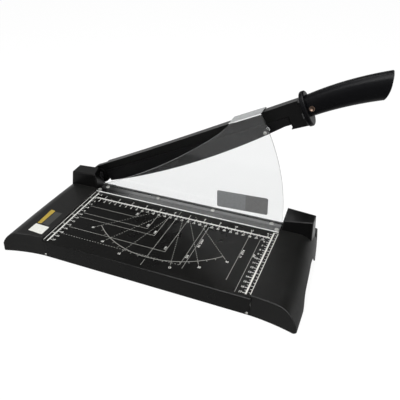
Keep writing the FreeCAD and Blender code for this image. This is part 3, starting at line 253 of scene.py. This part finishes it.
def powder_coat(name, colour, rough, grain_mm=1.1, height_mm=0.025):
    """Sprayed and baked powder coat on sheet steel: even satin black with a slight orange-peel."""
    material, tree, shader, place = start(name)
    shader.inputs["IOR"].default_value = PAINT_IOR
    shader.inputs["Specular IOR Level"].default_value = 0.2
    connect(tree, shader, colour=mottled(tree, place, colour, spread=0.08, period_mm=40.0),
            rough=roughness_wander(tree, place, rough - 0.03, rough + 0.04, period_mm=50.0),
            normal=grain_bump(tree, place, grain_mm, height_mm, edge_mm=0.3))
    return material


def bare_metal(name, colour, rough, grind_mm, along=EVEN):
    """Ground or plated steel: metallic, with the fine lines that the wheel leaves."""
    material, tree, shader, place = start(name)
    shader.inputs["Metallic"].default_value = 1.0
    stretched = add(tree, "ShaderNodeMapping", {"Vector": place, "Scale": along})
    lines = add(tree, "ShaderNodeTexNoise",
                {"Vector": stretched.outputs["Vector"], "Scale": 1000.0 / grind_mm, "Detail": 3.0})
    bump = add(tree, "ShaderNodeBump", {"Height": lines.outputs["Fac"], "Distance": 0.01 * MM, "Strength": 0.5})
    connect(tree, shader, colour=mottled(tree, place, colour, spread=0.06, period_mm=6.0),
            rough=ramp(tree, lines.outputs["Fac"], NOISE_LOW, NOISE_HIGH, rough - 0.06, rough + 0.08),
            normal=bump.outputs["Normal"])
    return material


def fading(tree, place, pivot_shade, own_colour):
    """Colour along X: at the sheet's end by the pivot a painted reflection of the dark pivot housing,
    then the sheet's own colour.
    """
    across = add(tree, "ShaderNodeSeparateXYZ", {0: place}).outputs["X"]
    share = ramp(tree, across, BENCH[0] + PIVOT_SHADE_START * MM, BENCH[0] + PIVOT_SHADE_END * MM, kind="SMOOTHSTEP")
    node = add(tree, "ShaderNodeValToRGB", {"Fac": share})
    node.color_ramp.elements[0].color = rgba(pivot_shade)
    node.color_ramp.elements[1].color = rgba(own_colour)
    return node.outputs["Color"]


def clear_acrylic(name, colour, rough, haze, pivot_shade=None):
    """Cast acrylic sheet: clear, with a light haze. Where a colour for the pivot's end is given, that end is
    painted darker: a painted reflection of the dark pivot housing."""
    material, tree, shader, place = start(name)
    shader.inputs["Base Color"].default_value = rgba(colour)
    shader.inputs["IOR"].default_value = ACRYLIC_IOR
    shader.inputs["Transmission Weight"].default_value = 1.0 - haze
    connect(tree, shader, rough=roughness_wander(tree, place, rough, rough + 0.03, period_mm=25.0),
            colour=fading(tree, place, pivot_shade, colour) if pivot_shade else None)
    return material


def sawn_acrylic(name, colour, pivot_shade=None):
    """Pale, rough, grainy skin on acrylic: a painted highlight along an edge, or painted light on the guard's
    foot.
    With a pivot shade given, its end at the pivot takes the painted reflection of the dark pivot housing.
    """
    material, tree, shader, place = start(name)
    shader.inputs["IOR"].default_value = ACRYLIC_IOR
    connect(tree, shader, rough=roughness_wander(tree, place, 0.45, 0.6, period_mm=3.0),
            normal=grain_bump(tree, place, period_mm=0.5, height_mm=0.02),
            colour=fading(tree, place, pivot_shade, colour) if pivot_shade
            else mottled(tree, place, colour, spread=0.08, period_mm=5.0))
    return material


def screen_print(name, colour):
    """Screen-printed ink: thin, flat and slightly uneven at its edges."""
    material, tree, shader, place = start(name)
    shader.inputs["Roughness"].default_value = 0.55
    connect(tree, shader, colour=mottled(tree, place, colour, spread=0.06, period_mm=3.0))
    return material


def rubber(name, colour):
    """Moulded nitrile rubber: dull, with a faint bloom."""
    material, tree, shader, place = start(name)
    shader.inputs["IOR"].default_value = NITRILE_IOR
    connect(tree, shader, colour=mottled(tree, place, colour, spread=0.2, period_mm=4.0),
            rough=roughness_wander(tree, place, 0.75, 0.9, period_mm=5.0),
            normal=grain_bump(tree, place, period_mm=0.8, height_mm=0.04))
    return material


# ---------------------------------------------------------------- mesh helpers
def bench(points):
    """Millimetres in the bench frame to metres in the row's frame."""
    return np.asarray(points, float) * MM + np.array(BENCH)


def mesh_piece(name, points, faces, material, body):
    """One piece from vertex and face arrays that are already in the row's frame."""
    mesh = bpy.data.meshes.new(name)
    mesh.from_pydata(points.tolist(), [], faces.tolist())
    mesh.update()
    mesh.materials.append(material)
    piece = bpy.data.objects.new(name, mesh)
    bpy.context.scene.collection.objects.link(piece)
    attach(piece, body)
    return piece


def strips(segments):
    """Each row x0, y0, x1, y1, width becomes a flat four-cornered strip in the plane of the print."""
    s = np.asarray(segments, float)
    a, b, w = s[:, 0:2], s[:, 2:4], s[:, 4:5] / 2
    along = (b - a) / np.linalg.norm(b - a, axis=1, keepdims=True)
    side = np.stack([-along[:, 1], along[:, 0]], axis=1) * w
    corners = np.stack([a - side, b - side, b + side, a + side], axis=1).reshape(-1, 2)
    faces = np.arange(len(corners)).reshape(-1, 4)
    return corners, faces


def ring_sector(cx, cy, r0, r1, t0, t1, steps):
    """Flat strip between two radii: angle runs along the grid's first parameter, radius along the second."""
    t = np.radians(np.linspace(t0, t1, steps + 1))
    r = np.array([r0, r1])
    x = cx + np.outer(np.sin(t), r)
    y = cy - np.outer(np.cos(t), r)
    points = np.stack([x, y], axis=2).reshape(-1, 2)
    i = np.arange(steps) * 2
    faces = np.stack([i, i + 1, i + 3, i + 2], axis=1)
    return points, faces


def joined(groups):
    """Several flat pieces as one array of points and one of faces, which all have as many corners."""
    offset = 0
    points, faces = [], []
    for p, f in groups:
        points.append(p)
        faces.append(f + offset)
        offset += len(p)
    return np.concatenate(points), np.concatenate(faces)


def lay(name, flat, faces, ink, height=0.0):
    """Sets a flat drawing on the base, one ink film above the given height in millimetres."""
    level = np.full((len(flat), 1), height + PRINT_LIFT / MM)
    return mesh_piece(name, bench(np.hstack([flat, level])), faces, ink, "base")


def read_mesh(mesh):
    """A mesh's places, and the corners of its triangles."""
    co = np.empty(len(mesh.vertices) * 3)
    mesh.vertices.foreach_get("co", co)
    mesh.calc_loop_triangles()
    tri = np.empty(len(mesh.loop_triangles) * 3, int)
    mesh.loop_triangles.foreach_get("vertices", tri)
    return co.reshape(-1, 3), tri.reshape(-1, 3)


def facing_up(points, faces):
    """Flat faces turned so that all of them look up."""
    q = points[faces]
    area = np.zeros(len(faces))
    sides = faces.shape[1]
    for k in range(sides):
        a, b = q[:, k], q[:, (k + 1) % sides]
        area += a[:, 0] * b[:, 1] - a[:, 1] * b[:, 0]
    faces = faces.copy()
    faces[area < 0] = faces[area < 0][:, ::-1]
    return faces


def numbers(entries, height, turn=0.0):
    """Plain figures set flat on the table: each entry is text, x, y. Returns points and triangles."""
    body_share, boldness = 1.38, 0.028
    c, s = math.cos(turn), math.sin(turn)
    groups = []
    for text, x, y in entries:
        curve = bpy.data.curves.new("figure", "FONT")
        curve.body = text
        curve.size = height * body_share
        curve.align_x = "CENTER"
        curve.align_y = "CENTER"
        curve.offset = boldness * height
        carrier = bpy.data.objects.new("figure", curve)
        co, tri = read_mesh(carrier.to_mesh())
        groups.append((co[:, :2] @ np.array([[c, s], [-s, c]]) + (x, y), tri))
        carrier.to_mesh_clear()
        bpy.data.objects.remove(carrier)
        bpy.data.curves.remove(curve)
    return joined(groups)


def paint(material, *nodes):
    """The CAD nodes take this material in every slot."""
    for name in nodes:
        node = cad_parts[name]
        if not node.material_slots:
            node.data.materials.append(material)
        for slot in node.material_slots:
            slot.material = material


# ---------------------------------------------------------------- what a user would change
def size_property(name, description, default):
    return bpy.props.FloatProperty(name=name, description=description, default=default)


def colour_property(name, description, code):
    return bpy.props.FloatVectorProperty(name=name, description=description, subtype="COLOR",
                                         default=linear(code))


class CutterSizes(bpy.types.PropertyGroup):
    thick_line: size_property("Thick ruler line", "Width in millimetres", 2.4)
    thin_line: size_property("Thin line", "Width in millimetres", 0.62)
    tick_line: size_property("Tick", "Width in millimetres", 0.8)
    figure_height: size_property("Figure height", "In millimetres", 3.4)
    ruler_offset: size_property("Ruler", "Millimetres in front of the cut", 45.3)
    arc_radius: size_property("Protractor radius", "In millimetres", 140.5)


class CutterColours(bpy.types.PropertyGroup):
    cap: colour_property("End caps", "Moulded ABS", "#0b0b0a")
    block: colour_property("Blocks", "Smoother moulded ABS", "#050505")
    table: colour_property("Table", "Powder coat", "#0b0b0a")
    arm: colour_property("Arm", "Powder coat", "#040404")
    handle: colour_property("Handle", "Moulded nylon", "#030305")
    ink: colour_property("Printed scales", "Screen-print ink", "#e2e2dd")
    fine_ink: colour_property("Thin printed lines", "Screen-print ink", "#9a9a95")
    label: colour_property("Guard label", "Blank grey film", "#8e9091")
    label_field: colour_property("Guard label field", "Darker blank film", "#7c7c7c")
    paper: colour_property("White field", "Blank printed field", "#dcdcd6")
    grey: colour_property("Grey field", "Blank printed field", "#31312e")
    yellow: colour_property("Yellow field", "Blank printed field", "#a88f32")


def sizes():
    return bpy.context.scene.cutter_sizes


def colours():
    return bpy.context.scene.cutter_colours


# ---------------------------------------------------------------- operators, one per group of pieces
class CUTTER_OT_caps(bpy.types.Operator):
    """Moulded end caps and the two blocks on them"""
    bl_idname = "cutter.caps"
    bl_label = "End caps and blocks"

    def execute(self, context):
        cap = moulded_abs("spark_eroded_abs", colours().cap, rough=0.48, grain_mm=0.9, height_mm=0.05,
                          edge_mm=0.5)
        block = moulded_abs("satin_abs", colours().block, rough=0.36, grain_mm=1.4, height_mm=0.02,
                            edge_mm=0.6, gloss=0.2)
        paint(cap, "left_end_cap", "right_end_cap")
        paint(block, "pivot_housing", "landing_block")
        return {"FINISHED"}


class CUTTER_OT_table(bpy.types.Operator):
    """Sheet-steel table with its hidden rails and rib"""
    bl_idname = "cutter.table"
    bl_label = "Table"

    def execute(self, context):
        paint(powder_coat("table_powder_coat", colours().table, rough=0.28), "table")
        paint(powder_coat("matt_black_paint", linear("#060606"), rough=0.75), "pivot_bracket")
        zinc = bare_metal("rolled_zinc_plate", linear("#b4b4ae"), rough=0.38, grind_mm=0.6, along=ALONG_X)
        paint(zinc, "left_side_rail", "right_side_rail", "table_stiffener")
        return {"FINISHED"}


class CUTTER_OT_print(bpy.types.Operator):
    """Rulers, paper formats and protractor printed on the table"""
    bl_idname = "cutter.print"
    bl_label = "Printed scales"

    def execute(self, context):
        ink = screen_print("white_screen_print", colours().ink)
        fine_ink = screen_print("grey_screen_print", colours().fine_ink)
        flat, faces = strips(self.rulers())
        lay("printed_rulers", flat, facing_up(flat, faces), ink)
        flat, faces = joined([strips(self.formats() + self.angle_lines()), self.arc()])
        lay("printed_guide_lines", flat, facing_up(flat, faces), fine_ink)
        self.figures(ink)
        return {"FINISHED"}

    def rulers(self):
        """Border lines and the centimetre and inch scales: x0, y0, x1, y1, width in millimetres."""
        s = sizes()
        tick, half_tick, right_tick = s.tick_line, s.tick_line * HALF_TICK_WIDTH, s.tick_line * RIGHT_TICK_WIDTH
        ruler = -s.ruler_offset
        lines = [(RULER_START, ruler, RULER_END, ruler, s.thick_line)]
        lines += [(x, SIDE_BACK, x, front, width) for x, front, width in SIDE_LINES]
        lines.append(RIGHT_CORNER)
        for step, count, reach, half_reach in LONG_SCALES:
            whole = np.arange(1, count + 1) * step
            lines += [(x, ruler, x, ruler + reach, tick) for x in whole]
            lines += [(x, ruler, x, ruler + half_reach, half_tick) for x in whole - step / 2]
        quarter_inches = SIDE_INCH[0] + INCH / 2 - INCH / 4 * np.arange(21)
        for places, *ticks in (
            (SIDE_CM, (LEFT_RULER, LEFT_TICK, tick), (RIGHT_RULER, RIGHT_TICK, right_tick)),
            (SIDE_CM[:-1] - CM / 2, (LEFT_RULER, LEFT_HALF_TICK, half_tick),
             (RIGHT_RULER, RIGHT_HALF_TICK, tick)),
            (SIDE_INCH, (LEFT_BORDER, LEFT_RULER, tick), (RIGHT_RULER, RIGHT_BORDER, right_tick)),
            (quarter_inches, (RIGHT_BORDER, QUARTER_INCH_TICK, tick)),
        ):
            lines += [(start, y, end, y, width) for y in places for start, end, width in ticks]
        return lines

    def formats(self):
        """Paper formats: a line across the table and a line back to the ruler for each."""
        s = sizes()
        thin = s.thin_line
        ruler = -s.ruler_offset
        single = FORMAT_LINES + ((A5_LENGTH, ruler, A5_FRONT), MIDDLE_LINE)
        lines = [(x, back, x, front, thin) for x, back, front in single]
        for x, y in FORMAT_CORNERS:
            lines += [(FORMAT_LEFT, y, x, y, thin), (x, y, x, ruler, thin)]
        lines += [(x, DOTTED_EDGE, x + EDGE_DASH, DOTTED_EDGE, thin * EDGE_WIDTH)
                  for x in np.arange(EDGE_START, EDGE_END, EDGE_STEP)]
        return lines

    def polar(self, radius, angle):
        """Place at a radius from the protractor's centre: angle in degrees from straight to the front."""
        t = math.radians(angle)
        return PROTRACTOR[0] + radius * math.sin(t), PROTRACTOR[1] - radius * math.cos(t)

    def angle_lines(self):
        """Dotted rays of the protractor and the ticks on its arc."""
        s = sizes()
        lines = [(*self.polar(r, angle), *self.polar(r + RAY_DASH, angle), s.thin_line * RAY_WIDTH)
                 for angle in RAYS for r in np.arange(RAY_START, RAY_END, RAY_STEP)]
        for angle in np.arange(-ARC_REACH, ARC_REACH + 0.1, ARC_STEP):
            end = s.arc_radius + (ARC_TICK if angle % LONG_TICK_STEP else ARC_LONG_TICK)
            lines.append((*self.polar(s.arc_radius, angle), *self.polar(end, angle), s.thin_line))
        return lines

    def arc(self):
        """The protractor's arc."""
        radius = sizes().arc_radius
        return ring_sector(*PROTRACTOR, radius - ARC_HALF_WIDTH, radius + ARC_HALF_WIDTH,
                           -ARC_REACH, ARC_REACH, steps=64)

    def figures(self, ink):
        """Plain figures along the scales, at the formats and at the ends of the rays."""
        s = sizes()
        tall = s.figure_height
        ruler = -s.ruler_offset
        rows = [(str(n), n * CM, ruler + CM_FIGURES) for n in range(2, 31)]
        rows += [(str(n), n * INCH, ruler + INCH_FIGURES) for n in range(1, 12)]
        rows += [(str(n), x, y) for x in SIDE_FIGURES for n, y in enumerate(SIDE_CM, SIDE_FIRST_CM)]
        lay("printed_figures", *numbers(rows, tall), ink)
        upright = [(str(int(x)), x + CORNER_FIGURES[0], y + CORNER_FIGURES[1]) for x, y in FORMAT_CORNERS]
        lay("printed_format_figures", *numbers(upright + FORMAT_FIGURES, tall, math.radians(90)), ink)
        ends = [(str(abs(int(angle))), *self.polar(RAY_FIGURES, angle)) for angle in RAYS]
        lay("printed_angle_figures", *numbers(ends, tall), ink)


class CUTTER_OT_arm(bpy.types.Operator):
    """Blade arm, blades and pivot"""
    bl_idname = "cutter.arm"
    bl_label = "Arm and blades"

    def execute(self, context):
        paint(powder_coat("arm_powder_coat", colours().arm, rough=0.42), "blade_arm")
        blackened = powder_coat("blackened_blade_steel", linear("#060607"), rough=0.4, grain_mm=0.7,
                                height_mm=0.01)
        paint(blackened, "upper_blade")
        ground = bare_metal("ground_blade_steel", linear("#5a5b5e"), rough=0.34, grind_mm=0.5, along=ALONG_X)
        paint(ground, "fixed_blade")
        paint(bare_metal("sintered_bronze", linear("#a5813f"), rough=0.5, grind_mm=0.8), "arm_bush")
        return {"FINISHED"}


class CUTTER_OT_handle(bpy.types.Operator):
    """Handle shells and rivet"""
    bl_idname = "cutter.handle"
    bl_label = "Handle"

    def execute(self, context):
        nylon = moulded_abs("moulded_nylon", colours().handle, rough=0.36, grain_mm=0.7, height_mm=0.012,
                            edge_mm=0.4, gloss=0.12)
        paint(nylon, "handle_front_shell", "handle_back_shell")
        paint(bare_metal("dull_bronze_plate", linear("#7a675b"), rough=0.4, grind_mm=0.7), "handle_rivet")
        return {"FINISHED"}


class CUTTER_OT_clear_parts(bpy.types.Operator):
    """Clamp strip, fan guard and its button, with pale skins: painted highlights on their edges, painted light
    on the guard's foot
    """
    bl_idname = "cutter.clear_parts"
    bl_label = "Clamp strip and guard"

    def execute(self, context):
        clear = clear_acrylic("cast_acrylic_guard", linear("#f6f7f7"), rough=0.02, haze=0.02)
        paint(clear, "guard", "guard_button")
        # The clamp strip's end at the pivot is painted darker: a painted reflection of the dark pivot housing.
        strip = clear_acrylic("frosted_acrylic_clamp", linear("#828383"), rough=0.2, haze=0.55,
                              pivot_shade=linear("#1c1c1c"))
        paint(strip, "clamp_bar")
        foot_front = BENCH[1] + GUARD_FOOT_FRONT * MM
        # A pale skin on the clamp strip's front edge: a painted highlight along that edge.
        self.skin("clamp_sawn_edge", "clamp_bar", sawn_acrylic("sawn_acrylic_edge", linear("#f6f6f4")),
                  lambda normals, middles: (normals[:, 1] < LEANS_FRONT) & (normals[:, 2] < LEVEL),
                  "clamp_sheet")
        # A pale skin on the guard's slanting edge: a painted highlight along that edge.
        self.skin("guard_sawn_edge", "guard", sawn_acrylic("polished_acrylic_edge", linear("#9a9c9c")),
                  lambda normals, middles: (normals @ GUARD_EDGE > NEAR_GUARD_EDGE) & (normals[:, 2] < LEVEL),
                  "clear_sheet")
        # A grey skin on the guard's foot: painted light, standing in for light through the clear foot onto the
        # strip below, with the painted reflection of the dark pivot housing at its pivot end.
        lit_foot = sawn_acrylic("frosted_acrylic_foot", linear("#717272"), pivot_shade=linear("#161616"))
        self.skin("guard_foot_frost", "guard", lit_foot,
                  lambda normals, middles: (normals[:, 2] > LEVEL) | ((normals[:, 1] < FACES_FRONT)
                                                                      & (middles[:, 1] < foot_front)),
                  "clear_sheet")
        return {"FINISHED"}

    def skin(self, name, node, material, chosen, slot):
        """The sheet's chosen faces as a skin just outside them: each corner moves along its face's normal."""
        co, tri = read_mesh(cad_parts[node].data)
        corners = co[tri]
        normals = np.cross(corners[:, 1] - corners[:, 0], corners[:, 2] - corners[:, 0])
        normals /= np.maximum(np.linalg.norm(normals, axis=1, keepdims=True), 1e-12)
        keep = chosen(normals, corners.mean(axis=1))
        lifted = (corners[keep] + normals[keep][:, None] * SKIN_LIFT).reshape(-1, 3)
        faces = np.arange(len(lifted)).reshape(-1, 3)
        return mesh_piece(name, lifted, faces, material, "clamp")


class CUTTER_OT_fasteners(bpy.types.Operator):
    """Screws, washers, posts and clips"""
    bl_idname = "cutter.fasteners"
    bl_label = "Fasteners"

    def execute(self, context):
        zinc = bare_metal("bright_zinc_plate", linear("#c9c9c4"), rough=0.3, grind_mm=0.4)
        paint(zinc, "fixed_blade_screws", "end_cap_screws", "foot_screws", "bracket_screws",
              "housing_screws", "landing_block_screws", "blade_screws", "handle_screw", "post_clips")
        satin = bare_metal("satin_zinc_plate", linear("#b9b9b6"), rough=0.5, grind_mm=0.5)
        paint(satin, "skirt_rivets", "clamp_posts", "guard_screws", "guard_button_screw")
        black = bare_metal("black_oxide_steel", linear("#2b2b2c"), rough=0.45, grind_mm=0.5)
        paint(black, "pivot_nut", "pivot_bolt")
        nylon = moulded_abs("black_nylon", linear("#0b0b0c"), rough=0.45, grain_mm=0.6, height_mm=0.01,
                            edge_mm=0.2)
        paint(nylon, "thrust_washer")
        paint(bare_metal("spring_steel", linear("#4d4e50"), rough=0.4, grind_mm=0.4), "spring_washer")
        return {"FINISHED"}


class CUTTER_OT_rubber(bpy.types.Operator):
    """Feet and landing bumper"""
    bl_idname = "cutter.rubber"
    bl_label = "Rubber parts"

    def execute(self, context):
        paint(rubber("nitrile_rubber", linear("#17171a")), "rubber_feet", "landing_bumper")
        return {"FINISHED"}


class CUTTER_OT_labels(bpy.types.Operator):
    """Blank label on the guard and blank colour fields on the left cap"""
    bl_idname = "cutter.labels"
    bl_label = "Blank labels"

    def execute(self, context):
        film = screen_print("grey_label_film", colours().label)
        field = screen_print("dark_label_film", colours().label_field)
        border = screen_print("label_border_ink", linear("#6d6e6e"))
        outer = np.array(GUARD_LABEL)
        inner = self.rounded(outer, FIELD_RADIUS, start=FIELD_START, inset=FIELD_INSET)
        self.upright("guard_label", self.rounded(outer, GUARD_RADIUS), GUARD_FACE, film)
        self.upright("guard_label_field", inner, GUARD_FACE - FILM, field)
        self.upright("guard_label_border", self.rounded(outer, GUARD_RADIUS, line=RIM),
                     GUARD_FACE - 2 * FILM, border)
        for shade, (name, corners) in CAP_LABELS.items():
            flat, faces = self.rounded(np.array(corners), CAP_RADIUS)
            ink = screen_print(name + "_ink", getattr(colours(), shade))
            lay(name, flat, facing_up(flat, faces), ink, CAP_TOP)
        return {"FINISHED"}

    def upright(self, name, shape, back, material):
        """A flat shape stood up in front of the guard, at one distance from the cut."""
        flat, faces = shape
        points = np.stack([flat[:, 0], np.full(len(flat), back), flat[:, 1]], axis=1)
        return mesh_piece(name, bench(points), faces, material, "clamp")

    def rounded(self, corners, radius, start=0.0, inset=0.0, line=0.0):
        """A four-cornered field with round corners, whole or only its rim: the field's own two directions run
        from 0 to 1, each corner is a quarter circle, and a rim joins that outline to a smaller one."""
        a, b, c, d = corners
        wide = np.linalg.norm(b - a)
        high = np.linalg.norm(d - a)
        t = np.radians(np.linspace(0, 90, 7))
        outline = []
        for gap in (inset, inset + line) if line else (inset,):
            r = max(radius - (gap - inset), SMALLEST_RADIUS)
            x0, x1 = start * wide + gap, wide - gap
            y0, y1 = gap, high - gap
            x = np.concatenate([x1 - r + r * np.cos(t), x0 + r - r * np.sin(t),
                                x0 + r - r * np.cos(t), x1 - r + r * np.sin(t)])
            y = np.concatenate([y1 - r + r * np.sin(t), y1 - r + r * np.cos(t),
                                y0 + r - r * np.sin(t), y0 + r - r * np.cos(t)])
            u, v = (x / wide)[:, None], (y / high)[:, None]
            outline.append((1 - u) * (1 - v) * a + u * (1 - v) * b + u * v * c + (1 - u) * v * d)
        count = len(outline[0])
        i = np.arange(count)
        k = (i + 1) % count
        if line:
            return np.concatenate(outline), np.stack([i, k, k + count, i + count], axis=1)
        centre = outline[0].mean(axis=0, keepdims=True)
        return np.concatenate([outline[0], centre]), np.stack([i, k, np.full(count, count)], axis=1)


class CUTTER_OT_stage(bpy.types.Operator):
    """White floor, soft lights and the camera"""
    bl_idname = "cutter.stage"
    bl_label = "Stage"

    def execute(self, context):
        scene = context.scene
        scene.view_settings.view_transform = "Standard"
        camera = bpy.data.cameras.new("camera")
        camera.sensor_width = SENSOR_MM
        camera.lens = LENS_MM
        camera.clip_start = 0.01
        carrier = bpy.data.objects.new("camera", camera)
        scene.collection.objects.link(carrier)
        azimuth, elevation, roll = map(math.radians, (CAMERA_AZIMUTH, CAMERA_ELEVATION, CAMERA_ROLL))
        forward = Vector((-math.sin(azimuth) * math.cos(elevation), math.cos(azimuth) * math.cos(elevation),
                          -math.sin(elevation)))
        right = Vector((math.cos(azimuth), math.sin(azimuth), 0.0))
        up = right.cross(forward)
        turned_right = right * math.cos(roll) + up * math.sin(roll)
        turned_up = up * math.cos(roll) - right * math.sin(roll)
        place = BENCH + Vector(CAMERA_PLACE) * MM
        axes = Matrix((turned_right, turned_up, -forward)).transposed().to_4x4()
        carrier.matrix_world = Matrix.Translation(place) @ axes
        scene.camera = carrier
        self.floor(scene)
        self.lights(scene)
        return {"FINISHED"}

    def floor(self, scene):
        """Floor square whose material shows plain white to camera, mirror and glass rays, less its shadow.
        To mirror rays it greys in front of the cutter, where the table under a real one is in the shade."""
        corners = [(x * FLOOR_HALF, y * FLOOR_HALF, 0.0) for x, y in ((-1, -1), (1, -1), (1, 1), (-1, 1))]
        mesh = bpy.data.meshes.new("floor")
        mesh.from_pydata(corners, [], [(0, 1, 2, 3)])
        material = bpy.data.materials.new("white_paper_floor")
        material.use_nodes = True
        tree = material.node_tree
        tree.nodes.clear()
        ray = add(tree, "ShaderNodeLightPath").outputs
        place = add(tree, "ShaderNodeTexCoord").outputs["Object"]
        depth = add(tree, "ShaderNodeSeparateXYZ", {0: place}).outputs["Y"]
        pool = ramp(tree, depth, *SHADE_Y, FLOOR_SHADE, 1.0)
        seen = arithmetic(tree, "MAXIMUM", ray["Is Camera Ray"], ray["Is Glossy Ray"])
        seen = arithmetic(tree, "MAXIMUM", seen, ray["Is Transmission Ray"])
        share = arithmetic(tree, "MULTIPLY", seen, FLOOR_GLOW)
        mirrored = arithmetic(tree, "GREATER_THAN", ray["Glossy Depth"], 0.5)
        level = blend(tree, mirrored, FLOOR_LEVEL, pool)
        matt = add(tree, "ShaderNodeBsdfDiffuse", {"Color": (0.9, 0.9, 0.9, 1)})
        glow = add(tree, "ShaderNodeEmission", {"Color": (1, 1, 1, 1), "Strength": level})
        mix = add(tree, "ShaderNodeMixShader", {0: share, 1: matt.outputs[0], 2: glow.outputs[0]})
        add(tree, "ShaderNodeOutputMaterial", {"Surface": mix.outputs[0]})
        mesh.materials.append(material)
        sheet = bpy.data.objects.new("floor", mesh)
        scene.collection.objects.link(sheet)

    def lights(self, scene):
        """White horizon all round, four soft boxes, and for mirrors alone a dim ceiling with a bright strip."""
        world = bpy.data.worlds.new("studio")
        scene.world = world
        world.use_nodes = True
        tree = world.node_tree
        tree.nodes.clear()
        ray = add(tree, "ShaderNodeLightPath").outputs
        direction = add(tree, "ShaderNodeTexCoord").outputs["Generated"]
        toward = add(tree, "ShaderNodeSeparateXYZ", {0: direction}).outputs
        ceiling = ramp(tree, toward["X"], *CEILING_X, CEILING_LEFT, CEILING_RIGHT)
        horizon = ramp(tree, toward["Z"], *HORIZON_Z, 1.0, 0.0, "SMOOTHSTEP")
        strip = ramp(tree, toward["Y"], *STRIP_Y)
        strip = arithmetic(tree, "MULTIPLY", strip, ramp(tree, toward["Z"], *STRIP_Z))
        strip = arithmetic(tree, "MULTIPLY", strip, ramp(tree, toward["X"], *STRIP_X, 0.0, STRIP_GAIN))
        gloss = blend(tree, horizon, arithmetic(tree, "ADD", ceiling, strip), 1.0)
        mirrored = arithmetic(tree, "GREATER_THAN", ray["Glossy Depth"], 0.5)
        room = blend(tree, mirrored, ROOM_LEVEL, gloss)
        seen = arithmetic(tree, "MAXIMUM", ray["Is Camera Ray"], ray["Is Transmission Ray"])
        level = blend(tree, arithmetic(tree, "SUBTRACT", seen, mirrored), room, 1.0)
        sky = add(tree, "ShaderNodeBackground", {"Color": (1, 1, 1, 1), "Strength": level})
        add(tree, "ShaderNodeOutputWorld", {"Surface": sky.outputs[0]})
        for name, place, target, size, power in SOFTBOXES:
            lamp = bpy.data.lights.new(name, "AREA")
            lamp.shape = "SQUARE"
            lamp.size = size
            lamp.energy = power
            carrier = bpy.data.objects.new(name, lamp)
            scene.collection.objects.link(carrier)
            aim = (Vector(target) - Vector(place)).to_track_quat("-Z", "Y")
            carrier.matrix_world = Matrix.Translation(Vector(place)) @ aim.to_matrix().to_4x4()


class CUTTER_PT_panel(bpy.types.Panel):
    bl_idname = "CUTTER_PT_panel"
    bl_label = "Cutter"
    bl_space_type = "VIEW_3D"
    bl_region_type = "UI"
    bl_category = "Cutter"

    def draw(self, context):
        for group in (context.scene.cutter_sizes, context.scene.cutter_colours):
            for name in group.__annotations__:
                self.layout.prop(group, name)
        for operator in OPERATORS:
            self.layout.operator(operator.bl_idname)


OPERATORS = (CUTTER_OT_caps, CUTTER_OT_table, CUTTER_OT_print, CUTTER_OT_arm, CUTTER_OT_handle,
             CUTTER_OT_clear_parts, CUTTER_OT_fasteners, CUTTER_OT_rubber, CUTTER_OT_labels, CUTTER_OT_stage)
CLASSES = (CutterSizes, CutterColours) + OPERATORS + (CUTTER_PT_panel,)


def register():
    for one in CLASSES:
        bpy.utils.register_class(one)
    bpy.types.Scene.cutter_sizes = bpy.props.PointerProperty(type=CutterSizes)
    bpy.types.Scene.cutter_colours = bpy.props.PointerProperty(type=CutterColours)


def unregister():
    del bpy.types.Scene.cutter_colours
    del bpy.types.Scene.cutter_sizes
    for one in reversed(CLASSES):
        bpy.utils.unregister_class(one)


def main():
    register()
    bpy.ops.cutter.caps()
    bpy.ops.cutter.table()
    bpy.ops.cutter.print()
    bpy.ops.cutter.arm()
    bpy.ops.cutter.handle()
    bpy.ops.cutter.clear_parts()
    bpy.ops.cutter.fasteners()
    bpy.ops.cutter.rubber()
    bpy.ops.cutter.labels()
    bpy.ops.cutter.stage()


if __name__ == "__main__":
    main()
